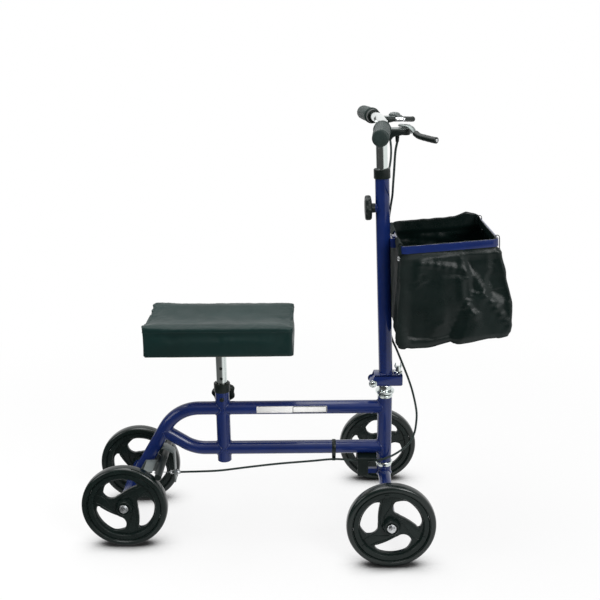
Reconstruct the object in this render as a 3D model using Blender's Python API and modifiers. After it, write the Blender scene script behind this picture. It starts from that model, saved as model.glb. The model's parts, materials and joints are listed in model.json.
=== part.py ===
"""Steerable knee walker in metres: X runs forward, Z up, and the wheels stand on Z = 0."""
import math

import bmesh
import bpy
from mathutils import Euler, Matrix, Vector

# Clearances between neighbours
GAP = 0.0003
RUNNING_GAP = 0.0006

# Facets of a round piece, and how far a joined shape sinks in or a cutter stands out
FACETS = 16
SINK = 0.001
OVERCUT = 0.010

# Wheels and axles
TYRE_R = 0.100
WHEEL_STEPS = 24
TYRE_WIDTH = 0.028
TREAD_WIDTH = 0.010
TYRE_SHOULDER = 0.007
TYRE_SEAT_R = 0.084
RIM_INNER_R = 0.070
RIM_WIDTH = 0.022
WEB_THICKNESS = 0.010
HUB_R = 0.017
HUB_WIDTH = 0.034
HUB_FLARE = 0.004
RIM_SLOPE = 0.002
AXLE_BOLT_R = 0.004
AXLE_BOLT_GRIP = 0.020
AXLE_SOCKET_DEPTH = 0.001
BOLT_HEAD_R = 0.008
BOLT_HEAD_HEIGHT = 0.0065
WASHER_R = 0.010
WASHER_THICKNESS = 0.0016
REAR_TRACK_HALF = 0.110
FRONT_TRACK_HALF = 0.206
WHEELBASE = 0.605

# Comma-shaped wheel openings, in shares of the tyre radius and degrees from the tip
OPENING_TIP_DEG = 35.5
OPENING_OUTER_R = 0.68
OPENING_BULB_AT_R = 0.48
OPENING_BULB_AT_DEG = 68.0
OPENING_BULB_R = 0.185
WHEEL_TURNS_DEG = {"rear_right": 25.0, "rear_left": 0.0, "front_right": 80.0, "front_left": 0.0}

# Main frame
TUBE_R = 0.0159
TUBE_WALL = 0.0020
UPPER_TUBE_Z = 0.2932
LOWER_TUBE_Z = 0.191
UPPER_BEND_X = 0.168
UPPER_BEND_R = 0.094
LOWER_BEND_X = 0.180
LOWER_BEND_R = 0.090
LOWER_RISE_DEG = 33.0
HEAD_TUBE_R = 0.017
HEAD_BORE_R = 0.015
HEAD_BOTTOM_Z = 0.155
HEAD_TOP_Z = 0.319
SEAT_X = 0.2235
SEAT_TUBE_R = 0.0165
SEAT_TUBE_BOTTOM_Z = 0.159
SEAT_TUBE_TOP_Z = 0.352
SLEEVED_BORE_R = 0.0142
AXLE_TUBE_R = 0.0163

# Telescoping posts, their bushes and clamp knobs
POST_R = 0.0127
POST_WALL = 0.0020
POST_HOLE_R = 0.0038
HOLE_PITCH = 0.0254
BUSH_CAP_WALL = 0.0022
BUSH_CAP_HEIGHT = 0.0217
BUSH_LIP = 0.006
BUSH_SLEEVE_DEPTH = 0.045
CLAMP_BOSS_R = 0.009
CLAMP_BOSS_REACH = 0.0200
CLAMP_SCREW_R = 0.0035
PLUG_R = 0.0052
PLUG_REACH = 0.0195
KNOB_R = 0.0285
KNOB_THICKNESS = 0.015
KNOB_NECK_R = 0.009
KNOB_NECK_LENGTH = 0.004
KNOB_LOBES = 7
KNOB_LOBE_DEPTH = 0.003
KNOB_EDGE = 0.003

# Seat
SEAT_KNOB_Z = 0.320
SEAT_POST_BOTTOM_Z = 0.257
SEAT_HOLES_ABOVE = 3
SEAT_HOLES_BELOW = 1
POST_PLATE = (0.090, 0.060, 0.003)
BOARD = (0.290, 0.156, 0.006)
BOARD_CORNER_R = 0.030
PAD_REAR_X = 0.061
PAD_FRONT_X = 0.395
PAD_HALF_WIDTH = 0.0996
PAD_BOTTOM_Z = 0.455
PAD_TOP_Z = 0.524
PAD_TROUGH = 0.012
PAD_WAIST = 0.004
PAD_END_DROP = 0.003
PAD_SIDE_DROP = 0.004
PAD_ROUNDING = 0.0033
PAD_EDGE_DRAW = 0.002
PAD_TOP_DRAW = 0.0053

# Headset, crown and front beam
CUP_R = 0.020
CUP_SPIGOT = 0.011
LOWER_CUP_HEIGHT = 0.0114
UPPER_CUP_R = 0.018
UPPER_CUP_HEIGHT = 0.007
SEAL_R = 0.0165
SEAL_HEIGHT = 0.003
RACE_R = 0.022
RACE_HEIGHT = 0.007
LOCKNUT_R = 0.0155
LOCKNUT_HEIGHT = 0.0134
CROWN_R = 0.017
CROWN_BELOW_BEAM = 0.006
BEAM_R = 0.0148
BEAM_END_R = 0.0125
BEAM_RISE = 0.025
BEAM_END_LENGTH = 0.015
STEERER_WALL = 0.0022
STOP_FINGER_REACH = 0.048
STOP_FINGER_HALF = 0.005
STOP_FINGER_HEIGHT = 0.012
STOP_FINGER_RISE = 0.004
STEER_LIMIT_DEG = 35.0
STOP_PLATE = 0.003
STOP_REAR = 0.065
STOP_FRONT = 0.019
STOP_ARM_FRONT = 0.040
STOP_ARM_DROP = 0.045

# Folding joint above the headset
FOLD_PIN_BACK = 0.0295
FOLD_PIN_Z = 0.358
FOLD_PIN_R = 0.003
FOLD_PIN_HEAD_R = 0.0065
FOLD_PIN_HEAD = 0.004
FOLD_WASHER_R = 0.009
FOLD_WASHER = 0.0016
BASE_NOSE_R = 0.007
BASE_RISE = 0.0167
BASE_LENGTH = 0.067
BASE_HALF_WIDTH = 0.0167
BASE_STEP_X = 0.009
STEERER_SOCKET = 0.013
CHANNEL_LUG_R = 0.0095
CHANNEL_LENGTH = 0.0685
CHANNEL_DROP = 0.004
CHANNEL_WALL = 0.003
CHANNEL_TOP_X = 0.002
CHANNEL_REAR_X = 0.012
WING_AT = 0.0595
WING_SHANK_R = 0.003
WING_SOCKET_R = 0.0055
WING_SOCKET_BACK = 0.0007
WING_SOCKET_ROOM = 0.003
WING_REACH_DOWN = 0.008
WING_FLANGE_R = 0.010
WING_FLANGE = 0.004
WING_HEIGHT = 0.024
WING_HUB_R = 0.007
WING_HUB_TOP_R = 0.0045
WING_EAR_RISE = 0.008
WING_EAR_INNER = 0.002
WING_HALF_SPAN = 0.0085
WING_THICKNESS = 0.004

# Column and handlebar
COLUMN_FORWARD = 0.0012
COLUMN_FLOOR = 0.008
COLUMN_LEAN_DEG = 1.77
COLUMN_LENGTH = 0.471
STEM_KNOB_BELOW_TOP = 0.081
RISER_BELOW_KNOB = 0.085
BAR_ABOVE_COLUMN = 0.108
BAR_R = 0.0111
BAR_WALL = 0.0018
BAR_BEND_Y = 0.060
BAR_SWEEP_DEG = 6.05
BAR_DROP_DEG = 1.5
BAR_SIDE_LENGTH = 0.2035
GRIP_START = 0.0885
GRIP_R = 0.0165
GRIP_FLANGE_R = 0.0184
GRIP_FLANGE = 0.005
GRIP_CAP_HEIGHT = 0.003
GRIP_CAP_PLUG = 0.012
GRIP_CAP_TAPER = 0.8
HANDLE_HOLES_ABOVE = 3
HANDLE_HOLES_BELOW = 2

# Brake levers, measured from the bar's bend: forward, outward and up
CLAMP_R = 0.0155
CLAMP_START = 0.061
CLAMP_WIDTH = 0.018
HOUSING_BACK = 0.009
HOUSING_INNER = 0.0455
HOUSING_OUTER = 0.0775
HOUSING_TOP = -0.001
HOUSING_BOTTOM = -0.023
HINGE_FORWARD = 0.047
HINGE_OUTWARD = 0.0675
HINGE_PIN_R = 0.0025
HINGE_PIN_HEIGHT = 0.0085
HINGE_PIN_ROOT = 0.004
CABLE_SOCKET = 0.006
HINGE_BOSS_R = 0.0095
HOUSING_NOSE_R = 0.0095
BLADE_R = 0.0042
BLADE_TAIL = 0.024
SLEEVE_R = 0.0072
ADJUSTER_R = 0.0055
ADJUSTER_LENGTH = 0.022
ADJUSTER_THREAD_R = 0.003
ADJUSTER_THREAD = 0.008
CABLE_EXIT_FORWARD = 0.030
CABLE_EXIT_OUTWARD = 0.060
LEVER_ANGLE_DEG = 37.2

# Rear brake
BRAKE_BAR_REST_GAP = 0.0016
BRAKE_BAR_ANGLE_DEG = 42.4
BRAKE_BAR_FORWARD = 0.011
BRAKE_BAR_RISE = 0.025
BRAKE_PIN_R = 0.004
BRAKE_BAR_R = 0.008
BRAKE_BAR_HALF = 0.118
BRAKE_ARM_THICKNESS = 0.012
BRAKE_ARM_R = 0.0075
BRAKE_FOOT_BACK = 0.005
BRAKE_FOOT_DROP = 0.021
BRAKE_PIN_HEAD_R = 0.007
BRAKE_PIN_HEAD = 0.004
BRACKET_THICKNESS = 0.003
BRACKET_EYE_R = 0.008
BRACKET_TAIL_BACK = 0.004
WING_PLATE_REAR_X = 0.040
WING_PLATE_FRONT_X = 0.0615
WING_PLATE_REACH = 0.080
WING_PLATE_Z = 0.167
HANGER_THICKNESS = 0.003
HANGER_WIDTH = 0.025
HANGER_ROOT_RISE = 0.012
HANGER_ROOT_LENGTH = 0.006
HANGER_BEND = 0.005
HANGER_FRONT_X = 0.105
HANGER_TOP_Z = 0.187
HANGER_BOTTOM_Z = 0.106
ADJUSTER_NUT_R = 0.0075
ADJUSTER_NUT = 0.004
CABLE_ADJUSTER_R = 0.0048
CABLE_ADJUSTER_LENGTH = 0.024

# Basket, whose rear, front and farthest reach are ahead of the steering axis
BASKET_REAR_AHEAD = 0.017
BASKET_FRONT_AHEAD = 0.226
BAG_REACH_AHEAD = 0.262
BASKET_HALF_WIDTH = 0.120
BASKET_RAIL_HEIGHT = 0.016
BASKET_RAIL = 0.003
BASKET_TOP_Z = 0.706
BASKET_TILT_DEG = 4.2
BASKET_CORNER_R = 0.014
BAG_WALL = 0.003
BAG_DEPTH = 0.220
BAG_RIM_RISE = 0.003
BAG_CORNER_R = 0.018
HOOK_HALF_WIDTH = 0.012
HOOK_DROP = 0.022
HOOK_RISE = 0.003
HOOK_WEB_DROP = 0.004
BRACKET_HALF_WIDTH = 0.016
BRACKET_FRONT_WALL = 0.0016
BRACKET_BACK_WALL = 0.006
BRACKET_BELOW_HOOK = 0.004

# Brake cable and its joiner
CABLE_R = 0.0025
JOINER_SIZE = (0.020, 0.011, 0.036)
JOINER_BACK = 0.007
JOINER_Z = 0.630
JOINER_HOLE_OFFSET = 0.004

# What follows from the sizes above
AXLE_Z = TYRE_R * math.cos(math.pi / WHEEL_STEPS)
BASKET_REAR_X = WHEELBASE + BASKET_REAR_AHEAD
BASKET_LENGTH = BASKET_FRONT_AHEAD - BASKET_REAR_AHEAD
REAR_AXLE_X = (AXLE_Z - WHEELBASE - BAG_REACH_AHEAD) / 2
STEM_KNOB_AT = COLUMN_LENGTH - STEM_KNOB_BELOW_TOP
BAR_AT = COLUMN_LENGTH + BAR_ABOVE_COLUMN
STEER_LIMIT = math.radians(STEER_LIMIT_DEG)
COLUMN_LEAN = math.radians(COLUMN_LEAN_DEG)
BUSH_SLEEVE_R = SLEEVED_BORE_R * math.cos(math.pi / FACETS) - GAP
CHANNEL_TOP = BASE_RISE + GAP + CHANNEL_WALL
STEERER_BORE = POST_R + GAP
BASE_BOTTOM_Z = FOLD_PIN_Z - BASE_NOSE_R
BRAKE_BAR_REACH = TYRE_R + BRAKE_BAR_R + BRAKE_BAR_REST_GAP
BRAKE_BAR_X = BRAKE_BAR_REACH * math.cos(math.radians(BRAKE_BAR_ANGLE_DEG))
BRAKE_BAR_Z = AXLE_Z + BRAKE_BAR_REACH * math.sin(math.radians(BRAKE_BAR_ANGLE_DEG))
BRAKE_PIVOT_X = BRAKE_BAR_X - BRAKE_BAR_FORWARD
BRAKE_PIVOT_Z = BRAKE_BAR_Z - BRAKE_BAR_RISE
BRAKE_FOOT_Z = BRAKE_PIVOT_Z - BRAKE_FOOT_DROP
ADJUSTER_Z = BRAKE_FOOT_Z
RIGHT = -1
LEFT = 1
SIDES = (("right", RIGHT), ("left", LEFT))


def clear_scene():
    for old in list(bpy.data.objects):
        bpy.data.objects.remove(old, do_unlink=True)


def new_collection(name):
    collection = bpy.data.collections.new(name)
    bpy.context.scene.collection.children.link(collection)
    return collection


clear_scene()
PARTS = new_collection("knee_walker")
CUTTERS = new_collection("cutters")


def make_material(name, colour, roughness, metallic=0.0):
    material = bpy.data.materials.new(name)
    material.use_nodes = True
    shader = material.node_tree.nodes["Principled BSDF"]
    shader.inputs["Base Color"].default_value = (*colour, 1.0)
    shader.inputs["Roughness"].default_value = roughness
    shader.inputs["Metallic"].default_value = metallic
    return material


COLOURS = {
    "blue_paint": ((0.010, 0.012, 0.110), 0.25, 0.0),
    "chrome": ((0.80, 0.82, 0.83), 0.12, 1.0),
    "bright_steel": ((0.62, 0.64, 0.65), 0.30, 1.0),
    "grey_paint": ((0.25, 0.26, 0.27), 0.45, 0.2),
    "black_plastic": ((0.012, 0.014, 0.014), 0.40, 0.0),
    "black_rubber": ((0.016, 0.018, 0.018), 0.65, 0.0),
    "tyre_rubber": ((0.010, 0.012, 0.012), 0.35, 0.0),
    "black_vinyl": ((0.020, 0.030, 0.028), 0.50, 0.0),
    "black_cloth": ((0.012, 0.014, 0.014), 0.80, 0.0),
    "plywood": ((0.45, 0.30, 0.16), 0.70, 0.0),
}


def add_empty(name, location, parent=None, rotation=(0.0, 0.0, 0.0)):
    empty = bpy.data.objects.new(name, None)
    empty.location = location
    empty.rotation_euler = rotation
    empty.parent = parent
    empty.empty_display_size = 0.03
    bpy.context.scene.collection.objects.link(empty)
    return empty


def add_object(name, data):
    obj = bpy.data.objects.new(name, data)
    PARTS.objects.link(obj)
    return obj


def mesh_from(name, bm):
    mesh = bpy.data.meshes.new(name)
    bm.to_mesh(mesh)
    bm.free()
    return add_object(name, mesh)


def cylinder(name, radius, start, end, sides=FACETS, end_radius=None):
    """A closed cylinder, or a cone with another end radius, between two points."""
    start, end = Vector(start), Vector(end)
    axis = end - start
    turn = axis.to_track_quat("Z", "Y").to_matrix().to_4x4() @ Matrix.Rotation(math.pi / sides, 4, "Z")
    bm = bmesh.new()
    bmesh.ops.create_cone(
        bm, cap_ends=True, segments=sides, radius1=radius,
        radius2=radius if end_radius is None else end_radius,
        depth=axis.length, matrix=Matrix.Translation((start + end) / 2) @ turn)
    return mesh_from(name, bm)


def box(name, low, high):
    low, high = Vector(low), Vector(high)
    place = Matrix.Translation((low + high) / 2) @ Matrix.Diagonal((*(high - low), 1.0))
    bm = bmesh.new()
    bmesh.ops.create_cube(bm, size=1.0, matrix=place)
    return mesh_from(name, bm)


def turned(name, profile, steps=18):
    """A ring about Z from a closed profile of (radius, height) points, down its outer side."""
    bm = bmesh.new()
    points = [bm.verts.new((radius, 0.0, height)) for radius, height in profile]
    for first, second in zip(points, points[1:] + points[:1]):
        bm.edges.new((first, second))
    ring = mesh_from(name, bm)
    screw = ring.modifiers.new("turn", "SCREW")
    screw.steps = steps
    screw.render_steps = steps
    screw.use_merge_vertices = True
    screw.merge_threshold = 0.00001
    screw.use_smooth_shade = True
    return ring


def as_mesh(curve_object):
    """A curve's solid as a mesh object, with its loose caps welded."""
    bpy.context.view_layer.update()
    name = curve_object.name
    evaluated = curve_object.evaluated_get(bpy.context.evaluated_depsgraph_get())
    mesh = bpy.data.meshes.new_from_object(evaluated)
    bm = bmesh.new()
    bm.from_mesh(mesh)
    bmesh.ops.remove_doubles(bm, verts=bm.verts, dist=0.00001)
    bmesh.ops.recalc_face_normals(bm, faces=bm.faces)
    bm.to_mesh(mesh)
    bm.free()
    solid = add_object(name + "_solid", mesh)
    solid.matrix_world = curve_object.matrix_world
    bpy.data.objects.remove(curve_object)
    solid.name = name
    return solid


def tube(name, points, radius, resolution=6, radii=None, tilt=0.0):
    """A round tube along points; radii are shares of the radius, and tilt turns its facets."""
    curve = bpy.data.curves.new(name, "CURVE")
    curve.dimensions = "3D"
    curve.bevel_depth = radius
    curve.bevel_resolution = resolution
    curve.use_fill_caps = True
    spline = curve.splines.new("POLY")
    spline.points.add(len(points) - 1)
    for index, point in enumerate(points):
        spline.points[index].co = (*point, 1.0)
        spline.points[index].radius = 1.0 if radii is None else radii[index]
        spline.points[index].tilt = tilt
    return as_mesh(add_object(name, curve))


def plate(name, outlines, thickness, edge_radius=0.0):
    """A flat plate in XY, centred on Z = 0, from closed outlines of which inner ones are holes."""
    curve = bpy.data.curves.new(name, "CURVE")
    curve.dimensions = "2D"
    curve.fill_mode = "BOTH"
    curve.extrude = thickness / 2 - edge_radius
    curve.bevel_depth = edge_radius
    curve.bevel_resolution = 0
    curve.offset = -edge_radius
    for outline in outlines:
        spline = curve.splines.new("POLY")
        spline.points.add(len(outline) - 1)
        spline.use_cyclic_u = True
        for point, place in zip(spline.points, outline):
            point.co = (*place, 0.0, 1.0)
    return as_mesh(add_object(name, curve))


def upright(obj, middle_y=0.0):
    """Stands a plate's XY outline up in XZ, with its middle at middle_y."""
    obj.data.transform(Matrix.Translation((0, middle_y, 0)) @ Matrix.Rotation(math.pi / 2, 4, "X"))
    return obj


def arc(centre, radius, first_deg, last_deg, steps):
    """Points on a circle from one angle to another, both ends included."""
    points = []
    for index in range(steps + 1):
        angle = math.radians(first_deg + (last_deg - first_deg) * index / steps)
        points.append((centre[0] + radius * math.cos(angle), centre[1] + radius * math.sin(angle)))
    return points


def rounded_rectangle(low, high, radius, steps=4):
    outline = []
    outline += arc((high[0] - radius, high[1] - radius), radius, 0, 90, steps)
    outline += arc((low[0] + radius, high[1] - radius), radius, 90, 180, steps)
    outline += arc((low[0] + radius, low[1] + radius), radius, 180, 270, steps)
    outline += arc((high[0] - radius, low[1] + radius), radius, 270, 360, steps)
    return outline


def smooth_route(points, steps):
    """Points on a smooth curve through a route's own points, steps to each stretch."""
    route = [Vector(point) for point in points]
    padded = [2 * route[0] - route[1]] + route + [2 * route[-1] - route[-2]]
    smooth = []
    for index in range(len(route) - 1):
        before, start, end, after = padded[index:index + 4]
        for step in range(steps):
            t = step / steps
            smooth.append(0.5 * (2 * start + (end - before) * t
                                 + (2 * before - 5 * start + 4 * end - after) * t * t
                                 + (3 * start - before - 3 * end + after) * t ** 3))
    smooth.append(route[-1])
    return smooth


def attach(obj, parent, colour=None):
    obj.parent = parent
    if colour is not None:
        shade(obj, colour)
    return obj


def shade(obj, colour):
    material = make_material(obj.name, *COLOURS[colour])
    obj.data.materials.clear()
    obj.data.materials.append(material)
    if len(obj.data.polygons):
        obj.data.shade_smooth()
        obj.data.set_sharp_from_angle(angle=math.radians(35))


def combine(target, operand, operation, parent=None):
    """Joins a shape to the target or cuts it out; the shape stays as a hidden operand."""
    operand.parent = target.parent if parent is None else parent
    operand.hide_render = True
    operand.display_type = "WIRE"
    PARTS.objects.unlink(operand)
    CUTTERS.objects.link(operand)
    boolean = target.modifiers.new(operand.name, "BOOLEAN")
    boolean.operation = operation
    boolean.solver = "EXACT"
    boolean.object = operand


def join(target, operand, parent=None):
    combine(target, operand, "UNION", parent)


def cut(target, operand, parent=None):
    combine(target, operand, "DIFFERENCE", parent)


def tail_angle():
    """Slope of the tail, which leaves the upper bend and runs straight to the rear axle."""
    back_x = UPPER_BEND_X
    back_z = UPPER_TUBE_Z - UPPER_BEND_R - AXLE_Z
    return math.atan2(back_z, back_x) + math.asin(UPPER_BEND_R / math.hypot(back_x, back_z))


def tail_x(z):
    """Where the tail's centre line passes a height."""
    return (z - AXLE_Z) / math.tan(tail_angle())


def upper_path(bend_steps=7):
    centre_z = UPPER_TUBE_Z - UPPER_BEND_R
    path = [(WHEELBASE, 0.0, UPPER_TUBE_Z)]
    for index in range(bend_steps + 1):
        turn = tail_angle() * index / bend_steps
        path.append((UPPER_BEND_X - UPPER_BEND_R * math.sin(turn), 0.0,
                     centre_z + UPPER_BEND_R * math.cos(turn)))
    path.append((0.0, 0.0, AXLE_Z))
    return path


def lower_path(bend_steps=4):
    centre_z = LOWER_TUBE_Z + LOWER_BEND_R
    rise = math.radians(LOWER_RISE_DEG)
    path = [(WHEELBASE, 0.0, LOWER_TUBE_Z)]
    for index in range(bend_steps + 1):
        turn = rise * index / bend_steps
        path.append((LOWER_BEND_X - LOWER_BEND_R * math.sin(turn), 0.0,
                     centre_z - LOWER_BEND_R * math.cos(turn)))
    last = Vector(path[-1])
    ahead = Vector((-math.cos(rise), 0.0, math.sin(rise)))
    normal = Vector((math.sin(tail_angle()), 0.0, -math.cos(tail_angle())))
    distance = (last - Vector((0.0, 0.0, AXLE_Z))).dot(normal) / -ahead.dot(normal)
    path.append(tuple(last + ahead * distance))
    return path


def trimmed(path, at_start, at_end):
    """The same path with both ends drawn in."""
    points = [Vector(point) for point in path]
    points[0] = points[0] + (points[1] - points[0]).normalized() * at_start
    points[-1] = points[-1] + (points[-2] - points[-1]).normalized() * at_end
    return points


def along_y(name, radius, centre, start, end, sides=16):
    """A cylinder along Y at an (x, z) centre."""
    return cylinder(name, radius, (centre[0], start, centre[1]), (centre[0], end, centre[1]), sides)


def clamp_hole(target, name, at, direction, parent=None):
    """The clamp screw's hole, from inside the tube out through its wall and the boss."""
    at, direction = Vector(at), Vector(direction)
    cut(target, cylinder(name, CLAMP_SCREW_R + RUNNING_GAP, at + direction * (POST_R - POST_WALL),
                         at + direction * (CLAMP_BOSS_REACH + CLAMP_SCREW_R), 12), parent)


def build_main_frame(walker):
    frame = tube("main_frame", upper_path(), TUBE_R)
    attach(frame, walker, "blue_paint")
    join(frame, tube("lower_tube", lower_path(), TUBE_R, tilt=math.pi / FACETS))
    join(frame, cylinder("head_tube", HEAD_TUBE_R, (WHEELBASE, 0, HEAD_BOTTOM_Z),
                         (WHEELBASE, 0, HEAD_TOP_Z), 18))
    join(frame, cylinder("seat_tube", SEAT_TUBE_R, (SEAT_X, 0, SEAT_TUBE_BOTTOM_Z),
                         (SEAT_X, 0, SEAT_TUBE_TOP_Z), 18))
    axle_half = REAR_TRACK_HALF - HUB_WIDTH / 2 - GAP
    join(frame, along_y("axle_tube", AXLE_TUBE_R, (0, AXLE_Z), -axle_half, axle_half, 18))
    join(frame, along_y("seat_clamp_boss", CLAMP_BOSS_R, (SEAT_X, SEAT_KNOB_Z), TUBE_R - 3 * SINK,
                        CLAMP_BOSS_REACH))
    join(frame, along_y("seat_plug", PLUG_R, (SEAT_X, SEAT_KNOB_Z), -PLUG_REACH, SINK - TUBE_R, 12))
    inner = TUBE_R - TUBE_WALL
    cut(frame, tube("upper_bore", trimmed(upper_path(5), 0.0, 2 * AXLE_TUBE_R), inner, 2))
    cut(frame, tube("lower_bore", trimmed(lower_path(3), 0.0, 2 * TUBE_R), inner, 2))
    cut(frame, cylinder("head_bore", HEAD_BORE_R, (WHEELBASE, 0, HEAD_BOTTOM_Z - OVERCUT),
                        (WHEELBASE, 0, HEAD_TOP_Z + OVERCUT)))
    cut(frame, cylinder("seat_bore", SLEEVED_BORE_R, (SEAT_X, 0, SEAT_TUBE_BOTTOM_Z - OVERCUT),
                        (SEAT_X, 0, SEAT_TUBE_TOP_Z + OVERCUT)))
    clamp_hole(frame, "seat_clamp_hole", (SEAT_X, 0, SEAT_KNOB_Z), (0, 1, 0))
    for name, side in SIDES:
        cut(frame, along_y("axle_hole_" + name, AXLE_BOLT_R + GAP, (0, AXLE_Z), side * (axle_half + OVERCUT),
                           side * (axle_half - AXLE_BOLT_GRIP - AXLE_SOCKET_DEPTH), 12))


def build_bush(name, parent, tube_top, tube_r):
    """A plastic bush: a cap over the tube's end and a sleeve that guides the post."""
    top = tube_top + BUSH_LIP
    bore = POST_R + GAP
    outer = tube_r + GAP
    cap_r = outer + BUSH_CAP_WALL
    bush = turned(name, [
        (bore, top), (cap_r, top), (cap_r, top - BUSH_CAP_HEIGHT), (outer, top - BUSH_CAP_HEIGHT),
        (outer, tube_top + GAP), (BUSH_SLEEVE_R, tube_top + GAP),
        (BUSH_SLEEVE_R, tube_top - BUSH_SLEEVE_DEPTH), (bore, tube_top - BUSH_SLEEVE_DEPTH)])
    attach(bush, parent, "black_plastic")
    return bush


def build_knob(name, axis):
    """A lobed clamp knob along the axis empty's Z, whose screw ends at the post."""
    head_start = CLAMP_BOSS_REACH + GAP + KNOB_NECK_LENGTH
    outline = []
    for index in range(KNOB_LOBES * 4):
        angle = 2 * math.pi * index / (KNOB_LOBES * 4)
        radius = KNOB_R - KNOB_LOBE_DEPTH * (1 - math.cos(KNOB_LOBES * angle)) / 2
        outline.append((radius * math.cos(angle), radius * math.sin(angle)))
    knob = plate(name, [outline], KNOB_THICKNESS, KNOB_EDGE)
    knob.data.transform(Matrix.Translation((0, 0, head_start + KNOB_THICKNESS / 2)))
    attach(knob, axis, "black_plastic")
    join(knob, cylinder(name + "_neck", KNOB_NECK_R, (0, 0, CLAMP_BOSS_REACH + GAP),
                        (0, 0, head_start + SINK), 16))
    join(knob, cylinder(name + "_screw", CLAMP_SCREW_R, (0, 0, POST_R + GAP),
                        (0, 0, head_start + SINK), 12))


def build_seat(walker):
    seat = add_empty("seat_axis", (SEAT_X, 0, 0), walker)
    bush = build_bush("seat_bush", seat, SEAT_TUBE_TOP_Z, SEAT_TUBE_R)
    cut(bush, along_y("seat_bush_hole", CLAMP_SCREW_R + RUNNING_GAP, (0, SEAT_KNOB_Z),
                      0, CLAMP_BOSS_REACH, 12))
    board_bottom = PAD_BOTTOM_Z - GAP - BOARD[2]
    plate_top = board_bottom - GAP
    plate_bottom = plate_top - POST_PLATE[2]
    post = cylinder("seat_post", POST_R, (0, 0, SEAT_POST_BOTTOM_Z), (0, 0, plate_bottom - GAP))
    attach(post, seat, "chrome")
    cut(post, cylinder("seat_post_bore", POST_R - POST_WALL, (0, 0, SEAT_POST_BOTTOM_Z - OVERCUT),
                       (0, 0, plate_bottom - POST_PLATE[2]), 12))
    for index in range(-SEAT_HOLES_BELOW, SEAT_HOLES_ABOVE + 1):
        height = SEAT_KNOB_Z + index * HOLE_PITCH
        cut(post, along_y("seat_post_hole_%d" % (index + SEAT_HOLES_BELOW), POST_HOLE_R, (0, height),
                          -POST_R - OVERCUT, POST_R + OVERCUT, 8))
    attach(box("seat_plate", (-POST_PLATE[0] / 2, -POST_PLATE[1] / 2, plate_bottom),
               (POST_PLATE[0] / 2, POST_PLATE[1] / 2, plate_top)), seat, "bright_steel")
    middle_x = (PAD_REAR_X + PAD_FRONT_X) / 2 - SEAT_X
    outline = rounded_rectangle((middle_x - BOARD[0] / 2, -BOARD[1] / 2),
                                (middle_x + BOARD[0] / 2, BOARD[1] / 2), BOARD_CORNER_R)
    board = plate("knee_board", [outline], BOARD[2])
    board.data.transform(Matrix.Translation((0, 0, board_bottom + BOARD[2] / 2)))
    attach(board, seat, "plywood")
    build_pad(seat, middle_x)
    knob_axis = add_empty("seat_knob_axis", (SEAT_X, 0, SEAT_KNOB_Z), walker, (-math.pi / 2, 0, 0))
    build_knob("seat_knob", knob_axis)


def build_pad(seat, middle_x):
    """A cushion with a crown, sides that draw in, and a trough along its length for the shin."""
    columns, rows, layers = 8, 6, 2
    half_length = (PAD_FRONT_X - PAD_REAR_X) / 2
    height = PAD_TOP_Z - PAD_BOTTOM_Z
    bm = bmesh.new()
    bmesh.ops.create_cube(bm, size=2.0)
    for axis, count in ((0, columns), (1, rows), (2, layers)):
        for index in range(1, count):
            spot = Vector((0, 0, 0))
            spot[axis] = 2 * index / count - 1
            normal = Vector((0, 0, 0))
            normal[axis] = 1
            bmesh.ops.bisect_plane(bm, geom=bm.verts[:] + bm.edges[:] + bm.faces[:], plane_co=spot,
                                   plane_no=normal, dist=0.00001)
    for vert in bm.verts:
        along, across, up = vert.co
        waist = PAD_WAIST * (1 - up * up)
        edge = PAD_EDGE_DRAW * up ** 4
        x = along * (half_length + PAD_ROUNDING - waist - edge)
        y = across * (PAD_HALF_WIDTH + PAD_ROUNDING - waist - edge)
        z = PAD_BOTTOM_Z + (height + PAD_TOP_DRAW) * (up + 1) / 2
        if up > 0.99:
            z -= PAD_TROUGH * (1 - across * across) ** 1.5
            z -= PAD_END_DROP * along ** 4
            z -= PAD_SIDE_DROP * across ** 8
        vert.co = (middle_x + x, y, z)
    pad = mesh_from("knee_pad", bm)
    smooth = pad.modifiers.new("soften", "SUBSURF")
    smooth.levels = 1
    smooth.render_levels = 1
    attach(pad, seat, "black_vinyl")


def build_headset(walker, steering):
    """Cups pressed in the head tube, and the seal, race and locknut stacked over them."""
    bore = STEERER_BORE
    spigot = HEAD_BORE_R * math.cos(math.pi / FACETS) - GAP
    low = HEAD_BOTTOM_Z - GAP
    lower = turned("headset_lower_cup", [
        (bore, HEAD_BOTTOM_Z + CUP_SPIGOT), (spigot, HEAD_BOTTOM_Z + CUP_SPIGOT), (spigot, low), (CUP_R, low),
        (CUP_R, low - LOWER_CUP_HEIGHT), (bore, low - LOWER_CUP_HEIGHT)])
    attach(lower, walker, "chrome")
    high = HEAD_TOP_Z + GAP
    upper = turned("headset_upper_cup", [
        (bore, high + UPPER_CUP_HEIGHT), (UPPER_CUP_R, high + UPPER_CUP_HEIGHT), (UPPER_CUP_R, high),
        (spigot, high), (spigot, HEAD_TOP_Z - CUP_SPIGOT), (bore, HEAD_TOP_Z - CUP_SPIGOT)])
    attach(upper, walker, "chrome")
    seal_low = high + UPPER_CUP_HEIGHT + GAP
    seal_high = seal_low + SEAL_HEIGHT
    seal = turned("headset_seal", [
        (bore, seal_high), (SEAL_R, seal_high), (SEAL_R, seal_low), (bore, seal_low)])
    attach(seal, walker, "black_rubber")
    for piece in (lower, upper, seal):
        piece.location.x = WHEELBASE
    nut_low = seal_high + GAP
    nut_mid = nut_low + RACE_HEIGHT
    nut = turned("headset_locknut", [
        (bore, nut_mid + LOCKNUT_HEIGHT), (LOCKNUT_R, nut_mid + LOCKNUT_HEIGHT), (LOCKNUT_R, nut_mid),
        (RACE_R, nut_mid), (RACE_R, nut_low), (bore, nut_low)])
    attach(nut, steering, "chrome")


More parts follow.
